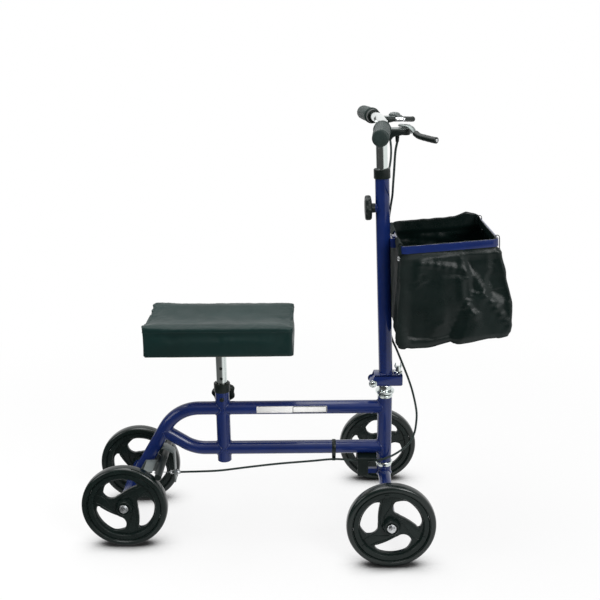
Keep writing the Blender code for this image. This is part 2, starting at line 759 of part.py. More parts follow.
def build_fork(steering):
    """Steerer, crown, stop finger and the arched beam that carries the front wheels."""
    half = FRONT_TRACK_HALF - HUB_WIDTH / 2 - GAP
    arched = half - BEAM_END_LENGTH
    count = 8
    points, radii = [], []
    for y in [-half] + [arched * (2 * index / count - 1) for index in range(count + 1)] + [half]:
        swell = math.cos(math.pi * min(abs(y), arched) / (2 * arched)) ** 2
        points.append((0, y, AXLE_Z + BEAM_RISE * swell))
        radii.append((BEAM_END_R + (BEAM_R - BEAM_END_R) * swell) / BEAM_R)
    fork = tube("front_fork", points, BEAM_R, 6, radii)
    attach(fork, steering, "blue_paint")
    crown_top = HEAD_BOTTOM_Z - LOWER_CUP_HEIGHT - 2 * GAP
    beam_z = AXLE_Z + BEAM_RISE
    join(fork, cylinder("crown", CROWN_R, (0, 0, beam_z - CROWN_BELOW_BEAM), (0, 0, crown_top), 20))
    join(fork, cylinder("steerer", POST_R, (0, 0, beam_z), (0, 0, BASE_BOTTOM_Z + STEERER_SOCKET - GAP), 20))
    finger_z = beam_z + STOP_FINGER_RISE
    join(fork, box("stop_finger", (-STOP_FINGER_REACH, -STOP_FINGER_HALF, finger_z - STOP_FINGER_HEIGHT / 2),
                   (0, STOP_FINGER_HALF, finger_z + STOP_FINGER_HEIGHT / 2)))
    cut(fork, cylinder("steerer_bore", POST_R - STEERER_WALL, (0, 0, beam_z - BEAM_R - OVERCUT),
                       (0, 0, BASE_BOTTOM_Z), 16))
    for name, side in SIDES:
        cut(fork, along_y("front_axle_hole_" + name, AXLE_BOLT_R + GAP, (0, AXLE_Z), side * (half + OVERCUT),
                          side * (half - AXLE_BOLT_GRIP - AXLE_SOCKET_DEPTH), 12))


def build_stop(walker):
    """Bracket under the lower tube whose two arms stop the crown's finger."""
    top = LOWER_TUBE_Z - TUBE_R - GAP
    inner = STOP_FINGER_REACH * math.sin(STEER_LIMIT) + STOP_FINGER_HALF * math.cos(STEER_LIMIT) + RUNNING_GAP
    outer = inner + STOP_PLATE
    stop = box("steering_stop", (WHEELBASE - STOP_REAR, -outer, top - STOP_PLATE),
               (WHEELBASE - STOP_FRONT, outer, top))
    attach(stop, walker, "black_plastic")
    for name, side in SIDES:
        y_low, y_high = sorted((side * inner, side * outer))
        join(stop, box("stop_arm_" + name, (WHEELBASE - STOP_REAR, y_low, top - STOP_ARM_DROP),
                       (WHEELBASE - STOP_ARM_FRONT, y_high, top - STOP_PLATE / 2)))


def build_fold(steering, fold):
    """The base block on the steerer and the pin that the column's channel folds about."""
    nose = arc((0, 0), BASE_NOSE_R, -90, -270, 8)
    outline = nose + [(BASE_STEP_X, BASE_RISE), (BASE_LENGTH, BASE_RISE), (BASE_LENGTH, -BASE_NOSE_R)]
    base = upright(plate("fold_base", [outline], 2 * BASE_HALF_WIDTH))
    attach(base, fold, "blue_paint")
    cut(base, cylinder("steerer_socket", STEERER_BORE, (FOLD_PIN_BACK, 0, -BASE_NOSE_R - OVERCUT),
                       (FOLD_PIN_BACK, 0, -BASE_NOSE_R + STEERER_SOCKET), 20))
    socket_x = WING_AT - WING_SOCKET_BACK
    cut(base, cylinder("wing_socket", WING_SOCKET_R, (socket_x, 0, WING_REACH_DOWN - WING_SOCKET_ROOM),
                       (socket_x, 0, BASE_RISE + OVERCUT), 16))
    channel_half = BASE_HALF_WIDTH + GAP + CHANNEL_WALL
    cut(base, along_y("base_pin_hole", FOLD_PIN_R + GAP, (0, 0), -channel_half, channel_half, 10))
    pin = along_y("fold_pin", FOLD_PIN_R, (0, 0), -channel_half - SINK, channel_half + SINK, 10)
    attach(pin, fold, "chrome")
    for name, side in SIDES:
        seat = side * (channel_half + GAP)
        rim = side * (channel_half + GAP + FOLD_WASHER)
        face = side * (channel_half + GAP + FOLD_WASHER + FOLD_PIN_HEAD)
        join(pin, along_y("fold_washer_" + name, FOLD_WASHER_R, (0, 0), seat, rim))
        join(pin, along_y("fold_pin_head_" + name, FOLD_PIN_HEAD_R, (0, 0), rim - side * GAP, face, 10))


def build_column(fold_turn, column):
    """The leaning column welded on its channel, with the clamp boss and the plugged hole."""
    nose = arc((0, 0), CHANNEL_LUG_R, -90, -270, 10)
    outline = nose + [(CHANNEL_TOP_X, CHANNEL_TOP), (CHANNEL_LENGTH, CHANNEL_TOP),
                      (CHANNEL_LENGTH, -CHANNEL_DROP), (CHANNEL_REAR_X, -CHANNEL_DROP)]
    channel_half = BASE_HALF_WIDTH + GAP + CHANNEL_WALL
    stem = upright(plate("stem_column", [outline], 2 * channel_half))
    attach(stem, fold_turn, "blue_paint")
    inside = BASE_HALF_WIDTH + GAP
    lug = CHANNEL_LUG_R + OVERCUT
    cut(stem, box("channel_inside", (-lug, -inside, -lug),
                  (CHANNEL_LENGTH + OVERCUT, inside, BASE_RISE + GAP)))
    reach = channel_half + OVERCUT
    cut(stem, along_y("channel_pin_hole", FOLD_PIN_R + RUNNING_GAP, (0, 0), -reach, reach, 10))
    cut(stem, cylinder("wing_hole", WING_SHANK_R + GAP, (WING_AT, 0, 0),
                       (WING_AT, 0, CHANNEL_TOP + OVERCUT), 12))
    join(stem, cylinder("column_tube", TUBE_R, (0, 0, -SINK), (0, 0, COLUMN_LENGTH), 18), column)
    join(stem, cylinder("stem_boss", CLAMP_BOSS_R, (-CLAMP_BOSS_REACH, 0, STEM_KNOB_AT),
                        (3 * SINK - TUBE_R, 0, STEM_KNOB_AT), 16), column)
    join(stem, cylinder("stem_plug", PLUG_R, (TUBE_R - SINK, 0, STEM_KNOB_AT),
                        (PLUG_REACH, 0, STEM_KNOB_AT), 12), column)
    cut(stem, cylinder("column_bore", SLEEVED_BORE_R, (0, 0, COLUMN_FLOOR),
                       (0, 0, COLUMN_LENGTH + OVERCUT)), column)
    clamp_hole(stem, "stem_clamp_hole", (0, 0, STEM_KNOB_AT), (-1, 0, 0), column)


def build_stem(fold_turn, column):
    build_column(fold_turn, column)
    build_bush("stem_bush", column, COLUMN_LENGTH, TUBE_R)
    knob_axis = add_empty("stem_knob_axis", (0, 0, STEM_KNOB_AT), column, (0, -math.pi / 2, 0))
    build_knob("stem_knob", knob_axis)
    wing_axis = add_empty("fold_wing_axis", (WING_AT, 0, 0), fold_turn)
    top = CHANNEL_TOP + GAP
    wing = cylinder("fold_wing_bolt", WING_SHANK_R, (0, 0, WING_REACH_DOWN), (0, 0, top + WING_FLANGE), 12)
    attach(wing, wing_axis, "chrome")
    join(wing, cylinder("wing_flange", WING_FLANGE_R, (0, 0, top), (0, 0, top + WING_FLANGE), 20))
    join(wing, cylinder("wing_hub", WING_HUB_R, (0, 0, top + SINK),
                        (0, 0, top + WING_HEIGHT - WING_EAR_RISE), 16, WING_HUB_TOP_R))
    for name, side in SIDES:
        x_low, x_high = sorted((side * WING_EAR_INNER, side * WING_HALF_SPAN))
        join(wing, box("wing_ear_" + name, (x_low, -WING_THICKNESS / 2, top + WING_EAR_RISE),
                       (x_high, WING_THICKNESS / 2, top + WING_HEIGHT)))


def side_turn(side):
    """The turn of one half of the bar, swept back and drooping from the bend."""
    return Euler((-side * math.radians(BAR_DROP_DEG), 0.0, side * math.radians(BAR_SWEEP_DEG)))


def bar_path(reach):
    ends = []
    for side in (RIGHT, LEFT):
        bend = Vector((0, side * BAR_BEND_Y, 0))
        ends.append((bend, bend + side_turn(side).to_matrix() @ Vector((0, side * reach, 0))))
    return [ends[0][1], ends[0][0], ends[1][0], ends[1][1]]


def build_handlebar(column, bar):
    riser_bottom = STEM_KNOB_AT - RISER_BELOW_KNOB
    handlebar = tube("handlebar", bar_path(BAR_SIDE_LENGTH), BAR_R)
    attach(handlebar, bar, "chrome")
    join(handlebar, cylinder("riser", POST_R, (0, 0, riser_bottom), (0, 0, BAR_AT)), column)
    cut(handlebar, cylinder("riser_bore", POST_R - POST_WALL, (0, 0, riser_bottom - OVERCUT),
                            (0, 0, BAR_AT - BAR_R - 2 * POST_WALL), 16), column)
    cut(handlebar, tube("bar_bore", bar_path(BAR_SIDE_LENGTH + OVERCUT), BAR_R - BAR_WALL, 3))
    for index in range(-HANDLE_HOLES_BELOW, HANDLE_HOLES_ABOVE + 1):
        height = STEM_KNOB_AT + index * HOLE_PITCH
        cut(handlebar, cylinder("riser_hole_%d" % (index + HANDLE_HOLES_BELOW), POST_HOLE_R,
                                (-POST_R - OVERCUT, 0, height), (0, 0, height), 8), column)


def along_bar(name, profile, side_axis, side, steps=16):
    """A turned piece whose profile heights run outward along one half of the bar."""
    piece = turned(name, profile, steps)
    piece.rotation_euler = (-side * math.pi / 2, 0, 0)
    piece.parent = side_axis
    return piece


def build_grip(name, side, side_axis):
    bore = BAR_R + GAP
    end = BAR_SIDE_LENGTH
    flange_end = GRIP_START + GRIP_FLANGE
    grip = along_bar("grip_" + name, [
        (bore, end), (GRIP_R, end), (GRIP_R, flange_end), (GRIP_FLANGE_R, flange_end),
        (GRIP_FLANGE_R, GRIP_START), (bore, GRIP_START)], side_axis, side)
    shade(grip, "black_rubber")
    face = end + GAP
    cap = cylinder("grip_cap_" + name, GRIP_R, (0, side * face, 0),
                   (0, side * (face + GRIP_CAP_HEIGHT), 0), 20, GRIP_R * GRIP_CAP_TAPER)
    attach(cap, side_axis, "black_rubber")
    join(cap, cylinder("grip_plug_" + name, BAR_R - BAR_WALL - 2 * GAP, (0, side * (end - GRIP_CAP_PLUG), 0),
                       (0, side * (face + SINK), 0), 12))


def build_lever_bracket(name, side, side_axis):
    """Bar clamp, housing and the upright pin that the brake lever turns on."""
    start, end = side * CLAMP_START, side * (CLAMP_START + CLAMP_WIDTH)
    bracket = cylinder("lever_bracket_" + name, CLAMP_R, (0, start, 0), (0, end, 0), 20)
    attach(bracket, side_axis, "black_plastic")
    y_low, y_high = sorted((side * HOUSING_INNER, side * HOUSING_OUTER))
    join(bracket, box("lever_housing_" + name, (HOUSING_BACK, y_low, HOUSING_BOTTOM),
                      (HINGE_FORWARD, y_high, HOUSING_TOP)))
    hinge = (HINGE_FORWARD, side * HINGE_OUTWARD)
    join(bracket, cylinder("lever_nose_" + name, HOUSING_NOSE_R, (*hinge, HOUSING_BOTTOM),
                           (*hinge, HOUSING_TOP)))
    join(bracket, cylinder("lever_pin_" + name, HINGE_PIN_R, (*hinge, HOUSING_TOP - HINGE_PIN_ROOT),
                           (*hinge, HOUSING_TOP + HINGE_PIN_HEIGHT), 12))
    cut(bracket, cylinder("clamp_bore_" + name, BAR_R + GAP, (0, start - side * 3 * OVERCUT, 0),
                          (0, end + side * OVERCUT, 0)))
    exit_spot = (CABLE_EXIT_FORWARD, side * CABLE_EXIT_OUTWARD)
    cut(bracket, cylinder("cable_socket_" + name, CABLE_R + GAP, (*exit_spot, HOUSING_BOTTOM - OVERCUT),
                          (*exit_spot, HOUSING_BOTTOM + CABLE_SOCKET), 12))
    adjuster_y = side * (HOUSING_INNER + ADJUSTER_R)
    adjuster_z = (HOUSING_TOP + HOUSING_BOTTOM) / 2
    cut(bracket, cylinder("adjuster_socket_" + name, ADJUSTER_THREAD_R + GAP,
                          (HINGE_FORWARD - ADJUSTER_THREAD - SINK, adjuster_y, adjuster_z),
                          (HINGE_FORWARD + OVERCUT, adjuster_y, adjuster_z), 12))
    face = HINGE_FORWARD + GAP
    adjuster = cylinder("lever_adjuster_" + name, ADJUSTER_R, (face, adjuster_y, adjuster_z),
                        (face + ADJUSTER_LENGTH, adjuster_y, adjuster_z), 12)
    attach(adjuster, side_axis, "bright_steel")
    join(adjuster, cylinder("adjuster_thread_" + name, ADJUSTER_THREAD_R,
                            (HINGE_FORWARD - ADJUSTER_THREAD, adjuster_y, adjuster_z),
                            (face + SINK, adjuster_y, adjuster_z), 12))


# Brake lever, seen from its hinge: distance out along the lever, sideways, and height
BLADE_ROUTE = ((-BLADE_TAIL, 0.004, 0.0), (0.0, 0.0, 0.0006), (0.014, 0.0, 0.0), (0.024, -0.001, -0.004),
               (0.034, -0.001, -0.010), (0.058, 0.000, -0.015), (0.080, 0.003, -0.0168))
SLEEVE_ROUTE = ((0.033, -0.001, -0.0095), (0.044, -0.001, -0.0135), (0.058, 0.000, -0.015),
                (0.080, 0.003, -0.0168), (0.088, 0.0045, -0.0172), (0.0930, 0.0057, -0.0172))
SLEEVE_BORE_END = (0.082, 0.0034, -0.0168)


def build_lever(name, side, side_axis):
    angle = math.radians(LEVER_ANGLE_DEG)
    height = HOUSING_TOP + GAP + BLADE_R
    hinge = add_empty("brake_lever_axis_" + name, (HINGE_FORWARD, side * HINGE_OUTWARD, height), side_axis)

    def laid(route):
        """Turns lever distances into places beside the hinge, outward on this side."""
        places = []
        for out, across, up in route:
            x = out * math.sin(angle) + across * math.cos(angle)
            y = out * math.cos(angle) - across * math.sin(angle)
            places.append((x, side * y, up))
        return places

    blade = tube("brake_lever_" + name, laid(BLADE_ROUTE), BLADE_R, 2)
    attach(blade, hinge, "grey_paint")
    join(blade, cylinder("lever_hub_" + name, HINGE_BOSS_R, (0, 0, -BLADE_R), (0, 0, BLADE_R), 16))
    cut(blade, cylinder("lever_hub_hole_" + name, HINGE_PIN_R + RUNNING_GAP, (0, 0, -OVERCUT),
                        (0, 0, OVERCUT), 12))
    route = laid(SLEEVE_ROUTE)
    shares = [1.0] * (len(route) - 1) + [0.6]
    sleeve = tube("lever_sleeve_" + name, route, SLEEVE_R, 3, shares)
    attach(sleeve, hinge, "black_plastic")
    bore_route = BLADE_ROUTE[3:] + (SLEEVE_BORE_END,)
    cut(sleeve, tube("sleeve_bore_" + name, laid(bore_route), BLADE_R + 2 * GAP, 2))


def build_brake(walker):
    """Rocking lever under the tail whose crossbar presses on both rear tyres."""
    pivot = add_empty("brake_axis", (BRAKE_PIVOT_X, 0, BRAKE_PIVOT_Z), walker)
    bar_at = (BRAKE_BAR_FORWARD, BRAKE_BAR_RISE)
    foot_at = (-BRAKE_FOOT_BACK, -BRAKE_FOOT_DROP)
    brake = along_y("brake_bar", BRAKE_BAR_R, bar_at, -BRAKE_BAR_HALF, BRAKE_BAR_HALF)
    attach(brake, pivot, "black_plastic")
    for name, end, thickness in (("upper", bar_at, BRAKE_ARM_THICKNESS),
                                 ("lower", foot_at, BRAKE_ARM_THICKNESS - GAP)):
        slope = math.degrees(math.atan2(end[1], end[0]))
        outline = arc(end, BRAKE_ARM_R, slope - 90, slope + 90, 6)
        outline += arc((0, 0), BRAKE_ARM_R, slope + 90, slope + 270, 6)
        join(brake, upright(plate("brake_arm_" + name, [outline], thickness)))
    reach = BRAKE_ARM_THICKNESS / 2 + OVERCUT
    cut(brake, along_y("brake_pivot_hole", BRAKE_PIN_R + GAP, (0, 0), -reach, reach))
    cheek_inner = TUBE_R + GAP
    cheek_outer = cheek_inner + BRACKET_THICKNESS
    pivot_at = (BRAKE_PIVOT_X, BRAKE_PIVOT_Z)
    pin = along_y("brake_pin", BRAKE_PIN_R, pivot_at, -cheek_outer - 2 * SINK, cheek_outer + 2 * SINK)
    attach(pin, walker, "bright_steel")
    for name, side in SIDES:
        seat = side * (cheek_outer + GAP)
        face = seat + side * BRAKE_PIN_HEAD
        join(pin, along_y("brake_pin_head_" + name, BRAKE_PIN_HEAD_R, pivot_at, seat, face, 6))
        build_brake_bracket(walker, name, side, cheek_inner, cheek_outer)


def build_brake_bracket(walker, name, side, inner, outer):
    """A cheek on the tail's side that holds the pivot pin, with a wing plate over the axle."""
    low_z = BRAKE_PIVOT_Z - BRACKET_EYE_R
    high_z = WING_PLATE_Z + BRACKET_THICKNESS / 2
    outline = arc((BRAKE_PIVOT_X, BRAKE_PIVOT_Z), BRACKET_EYE_R, -90, 60, 6)
    outline += [(WING_PLATE_FRONT_X, high_z), (tail_x(high_z) - BRACKET_TAIL_BACK, high_z),
                (tail_x(low_z) - BRACKET_TAIL_BACK, low_z)]
    bracket = upright(plate("brake_bracket_" + name, [outline], BRACKET_THICKNESS),
                      side * (inner + outer) / 2)
    attach(bracket, walker, "grey_paint")
    y_low, y_high = sorted((side * (outer - SINK), side * WING_PLATE_REACH))
    join(bracket, box("wing_plate_" + name, (WING_PLATE_REAR_X, y_low, WING_PLATE_Z - BRACKET_THICKNESS / 2),
                      (WING_PLATE_FRONT_X, y_high, high_z - GAP)))
    cut(bracket, along_y("bracket_eye_" + name, BRAKE_PIN_R + GAP, (BRAKE_PIVOT_X, BRAKE_PIVOT_Z),
                         side * (inner - OVERCUT), side * (outer + OVERCUT)))


def build_hanger(walker):
    """A bent strip on the tail's front that holds the cable adjuster behind the brake's foot."""
    wall = HANGER_THICKNESS
    skin = (TUBE_R + GAP) / math.sin(tail_angle())
    root_z = HANGER_TOP_Z + HANGER_ROOT_RISE
    root_low_z = root_z - 2 * wall
    root_x = tail_x(root_z) + skin
    rear_x = HANGER_FRONT_X - wall
    outline = [(root_x, root_z), (root_x + HANGER_ROOT_LENGTH, root_z), (rear_x, HANGER_TOP_Z),
               (HANGER_FRONT_X, HANGER_TOP_Z - HANGER_BEND), (HANGER_FRONT_X, HANGER_BOTTOM_Z),
               (rear_x, HANGER_BOTTOM_Z), (rear_x, HANGER_TOP_Z - 2 * wall),
               (root_x + wall, root_low_z + wall / 2), (tail_x(root_low_z) + skin, root_low_z)]
    hanger = upright(plate("brake_hanger", [outline], HANGER_WIDTH))
    attach(hanger, walker, "grey_paint")
    cut(hanger, cylinder("hanger_hole", CABLE_ADJUSTER_R + GAP, (HANGER_FRONT_X - OVERCUT, 0, ADJUSTER_Z),
                         (HANGER_FRONT_X + OVERCUT, 0, ADJUSTER_Z), 12))
    middle = HANGER_FRONT_X - wall / 2
    adjuster = cylinder("cable_adjuster", CABLE_ADJUSTER_R,
                        (middle - CABLE_ADJUSTER_LENGTH / 2, 0, ADJUSTER_Z),
                        (middle + CABLE_ADJUSTER_LENGTH / 2, 0, ADJUSTER_Z), 12)
    attach(adjuster, walker, "bright_steel")
    nut_low = HANGER_FRONT_X + GAP
    join(adjuster, cylinder("adjuster_nut", ADJUSTER_NUT_R, (nut_low, 0, ADJUSTER_Z),
                            (nut_low + ADJUSTER_NUT, 0, ADJUSTER_Z), 6))


def opening_outline():
    """One comma: a fine tip, an outer arc along the rim and a round bulb near the hub."""
    def polar(share, degrees):
        angle = math.radians(OPENING_TIP_DEG + degrees)
        return (share * TYRE_R * math.cos(angle), share * TYRE_R * math.sin(angle))

    outline = [polar(0.55, 3), polar(0.59, -1), polar(0.64, 1)]
    outline += [polar(OPENING_OUTER_R, degrees) for degrees in (12, 30, 48, 66)]
    bulb = polar(OPENING_BULB_AT_R, OPENING_BULB_AT_DEG)
    heading = OPENING_TIP_DEG + OPENING_BULB_AT_DEG
    outline += arc(bulb, OPENING_BULB_R * TYRE_R, heading + 60, heading + 190, 5)
    outline += [polar(0.30, 52), polar(0.35, 32), polar(0.44, 15)]
    return outline


def build_wheel(name, parent, place):
    axis = add_empty("wheel_axis_" + name, place, parent)
    bore = AXLE_BOLT_R + GAP
    web = WEB_THICKNESS / 2
    profile = [(bore, HUB_WIDTH / 2), (HUB_R, HUB_WIDTH / 2), (HUB_R + HUB_FLARE, web), (RIM_INNER_R, web),
               (RIM_INNER_R + RIM_SLOPE, RIM_WIDTH / 2), (TYRE_SEAT_R, RIM_WIDTH / 2)]
    profile += [(radius, -height) for radius, height in reversed(profile)]
    wheel = turned("wheel_" + name, profile, WHEEL_STEPS)
    attach(wheel, axis, "black_plastic")
    spin = math.radians(WHEEL_TURNS_DEG[name])
    wheel.rotation_euler = (math.pi / 2, -spin, 0)
    for index in range(3):
        opening = plate("opening_%s_%d" % (name, index), [opening_outline()], 2 * WEB_THICKNESS)
        opening.data.transform(Matrix.Rotation(index * 2 * math.pi / 3, 4, "Z"))
        opening.rotation_euler = wheel.rotation_euler
        cut(wheel, opening)
    seat = (TYRE_SEAT_R + GAP) / math.cos(math.pi / WHEEL_STEPS)
    half = TYRE_WIDTH / 2
    shoulder = TYRE_R - TYRE_SHOULDER
    tyre = turned("tyre_" + name, [
        (seat, half), (shoulder, half), (TYRE_R, TREAD_WIDTH / 2), (TYRE_R, -TREAD_WIDTH / 2),
        (shoulder, -half), (seat, -half)], WHEEL_STEPS)
    tyre.rotation_euler = (math.pi / 2, -math.pi / WHEEL_STEPS, 0)
    attach(tyre, axis, "tyre_rubber")


def build_axle_bolt(name, parent, track_half, side):
    hub_face = track_half + HUB_WIDTH / 2 + GAP
    washer = hub_face + WASHER_THICKNESS
    start = track_half - HUB_WIDTH / 2 - AXLE_BOLT_GRIP
    bolt = along_y(name, AXLE_BOLT_R, (0, AXLE_Z), side * start, side * (washer + SINK), 12)
    attach(bolt, parent, "bright_steel")
    join(bolt, along_y(name + "_washer", WASHER_R, (0, AXLE_Z), side * hub_face, side * washer, 16))
    join(bolt, along_y(name + "_head", BOLT_HEAD_R, (0, AXLE_Z), side * (washer - GAP),
                       side * (washer + BOLT_HEAD_HEIGHT), 6))


def bag_sections():
    """Plan outlines of the bag from rim to floor: depth, rear x, front x and half width."""
    rear = BASKET_RAIL + GAP
    front = BASKET_LENGTH - rear
    half = BASKET_HALF_WIDTH - rear
    tilt = math.radians(BASKET_TILT_DEG)
    widest = -0.94 * BAG_DEPTH
    reach = (BAG_REACH_AHEAD - BASKET_REAR_AHEAD + widest * math.sin(tilt)) / math.cos(tilt)
    return [
        (BAG_RIM_RISE, rear, front, half),
        (-BASKET_RAIL_HEIGHT - 0.003, rear, front, half),
        (-BASKET_RAIL_HEIGHT - 0.014, rear - 0.001, front + 0.010, half + 0.006),
        (-0.36 * BAG_DEPTH, 0.0005, front + 0.018, half + 0.010),
        (-0.66 * BAG_DEPTH, -0.007, front + 0.029, half + 0.015),
        (widest, -0.011, reach, half + 0.016),
        (-BAG_DEPTH, -0.005, reach - 0.008, half + 0.009),
    ]


def build_bag(basket):
    """The cloth bag as one shell, open at the top, that swells out below the rail."""
    corner_steps = 3
    bm = bmesh.new()
    rings = []
    for depth, rear, front, half in bag_sections():
        outline = rounded_rectangle((rear, -half), (front, half), BAG_CORNER_R, corner_steps)
        rings.append([bm.verts.new((x, y, depth)) for x, y in outline])
    for upper, lower in zip(rings, rings[1:]):
        count = len(upper)
        for index in range(count):
            after = (index + 1) % count
            bm.faces.new((upper[after], upper[index], lower[index], lower[after]))
    bm.faces.new(list(reversed(rings[-1])))
    bmesh.ops.recalc_face_normals(bm, faces=bm.faces)
    bag = mesh_from("basket_bag", bm)
    wall = bag.modifiers.new("cloth", "SOLIDIFY")
    wall.thickness = BAG_WALL
    wall.offset = -1.0
    wall.use_even_offset = True
    attach(bag, basket, "black_cloth")


def build_basket(column, basket):
    """Flat-bar frame with the hook that drops in the bracket on the column."""
    outer = rounded_rectangle((0, -BASKET_HALF_WIDTH), (BASKET_LENGTH, BASKET_HALF_WIDTH), BASKET_CORNER_R)
    inner_half = BASKET_HALF_WIDTH - BASKET_RAIL
    inner = rounded_rectangle((BASKET_RAIL, -inner_half), (BASKET_LENGTH - BASKET_RAIL, inner_half),
                              BASKET_CORNER_R - BASKET_RAIL)
    rail = plate("basket_frame", [outer, inner], BASKET_RAIL_HEIGHT)
    rail.data.transform(Matrix.Translation((0, 0, -BASKET_RAIL_HEIGHT / 2)))
    attach(rail, basket, "blue_paint")
    front_face = -2 * GAP
    tongue_front = front_face - BRACKET_FRONT_WALL - 2 * GAP
    tongue_back = tongue_front - BASKET_RAIL
    web_low = -HOOK_WEB_DROP
    join(rail, box("hook_web", (tongue_back, -HOOK_HALF_WIDTH, web_low),
                   (SINK, HOOK_HALF_WIDTH, web_low + HOOK_RISE)))
    tongue_half = HOOK_HALF_WIDTH - GAP
    join(rail, box("hook_tongue", (tongue_back, -tongue_half, -HOOK_DROP),
                   (tongue_front, tongue_half, web_low + HOOK_RISE / 2)))
    bracket_low = -HOOK_DROP - BRACKET_BELOW_HOOK
    bracket = box("basket_bracket", (tongue_back - BRACKET_BACK_WALL, -BRACKET_HALF_WIDTH, bracket_low),
                  (front_face, BRACKET_HALF_WIDTH, web_low - GAP))
    attach(bracket, basket, "blue_paint")
    cut(bracket, box("hook_slot", (tongue_back - 2 * GAP, -HOOK_HALF_WIDTH - GAP, bracket_low - OVERCUT),
                     (tongue_front + GAP, HOOK_HALF_WIDTH + GAP, OVERCUT)))
    cut(bracket, cylinder("bracket_saddle", TUBE_R + GAP, (0, 0, 0), (0, 0, COLUMN_LENGTH), 24), column)
    build_bag(basket)


# The brake cable's route by hand, in x, y and z: from the steering axis, and the last from the rear axle
ROUTE_RIGHT = ((0.0045, -0.111, 0.905), (0.005, -0.086, 0.865), (0.0070, -0.046, 0.825),
               (0.0098, -0.005, 0.797), (0.0085, 0.0140, 0.772), (0.006, 0.0200, 0.748),
               (0.002, 0.0225, 0.715), (-0.002, 0.0225, 0.680))
ROUTE_LEFT = ((0.0145, 0.113, 0.897), (0.0135, 0.090, 0.863), (0.004, 0.062, 0.820),
              (-0.004, 0.038, 0.765), (-0.009, 0.026, 0.715), (-0.011, 0.0225, 0.680))
ROUTE_FRONT = ((-0.006, 0.0225, 0.585), (-0.001, 0.024, 0.545), (0.005, 0.0255, 0.508),
               (0.010, 0.025, 0.478), (0.018, 0.021, 0.450), (0.027, 0.015, 0.430),
               (0.041, 0.008, 0.396), (0.055, 0.005, 0.360), (0.066, 0.002, 0.325), (0.075, 0.000, 0.281), (0.075, -0.001, 0.250), (0.070, -0.003, 0.222),
               (0.056, -0.008, 0.198), (0.032, -0.016, 0.182), (0.008, -0.0225, 0.172),
               (-0.017, -0.0225, 0.165), (-0.045, -0.019, 0.162), (-0.075, -0.013, 0.161),
               (-0.120, -0.007, 0.161))
ROUTE_REAR = ((0.430, -0.008, 0.157), (0.355, -0.012, 0.153), (0.290, -0.0165, 0.148),
              (0.247, -0.0195, 0.144), (0.223, -0.0205, 0.1415), (0.198, -0.0195, 0.139),
              (0.160, -0.010, 0.133), (0.138, -0.002, 0.1285))
# The lengths of that route, each with its body and the number of its last point
LENGTHS_DOWN = (("cable_stem", "column", 4), ("cable_loop_top", "steering", 10),
                ("cable_loop_bottom", "steering", 15), ("cable_rear", "walker", None))
CURVE_STEPS = 2


def parted(points, lengths):
    """Parts a smooth route between two of its points, so that the lengths meet face to face."""
    pieces = {}
    first, begun = [points[0]], 0
    for name, _, last in lengths:
        if last is None:
            pieces[name] = first + points[begun + 1:]
            break
        index = last * CURVE_STEPS
        middle = (points[index] + points[index + 1]) / 2
        half_gap = (points[index + 1] - points[index]).normalized() * GAP / 2
        pieces[name] = first + points[begun + 1:index + 1] + [middle - half_gap]
        first, begun = [middle + half_gap], index
    return pieces


def from_steering(route):
    return [(WHEELBASE + x, y, z) for x, y, z in route]


def attach_in_place(obj, walker, carrier, colour):
    """Hangs a piece that is laid in walker places on the empty that carries it."""
    obj.parent = carrier
    obj.matrix_parent_inverse = carrier.matrix_world.inverted() @ walker.matrix_world
    shade(obj, colour)


def build_cables(walker, carriers, side_places):
    """The brake cable in six lengths, laid in walker places at rest."""
    joiner_low = JOINER_Z - JOINER_SIZE[2] / 2
    joiner_high = JOINER_Z + JOINER_SIZE[2] / 2
    joiner_x = WHEELBASE - JOINER_BACK
    joiner_y = TUBE_R + GAP + JOINER_SIZE[1] / 2
    adjuster_face = HANGER_FRONT_X + CABLE_ADJUSTER_LENGTH / 2 - HANGER_THICKNESS / 2
    right = [side_places["right"], *from_steering(ROUTE_RIGHT),
             (joiner_x + JOINER_HOLE_OFFSET, joiner_y, joiner_high + GAP)]
    left = [side_places["left"], *from_steering(ROUTE_LEFT),
            (joiner_x - JOINER_HOLE_OFFSET, joiner_y, joiner_high + GAP)]
    down = [(joiner_x, joiner_y, joiner_low - GAP), *from_steering(ROUTE_FRONT), *ROUTE_REAR,
            (adjuster_face + GAP, 0.0, ADJUSTER_Z)]
    pieces = parted(smooth_route(down, CURVE_STEPS), LENGTHS_DOWN)
    pieces["cable_right"] = smooth_route(right, CURVE_STEPS)
    pieces["cable_left"] = smooth_route(left, CURVE_STEPS)
    body = {name: carrier for name, carrier, _ in LENGTHS_DOWN}
    for name, points in pieces.items():
        cable = tube(name, points, CABLE_R, 2)
        attach_in_place(cable, walker, carriers[body.get(name, "bar")], "black_rubber")
    joiner = box("cable_joiner", (joiner_x - JOINER_SIZE[0] / 2, TUBE_R + GAP, joiner_low),
                 (joiner_x + JOINER_SIZE[0] / 2, TUBE_R + GAP + JOINER_SIZE[1], joiner_high))
    attach_in_place(joiner, walker, carriers["column"], "black_plastic")


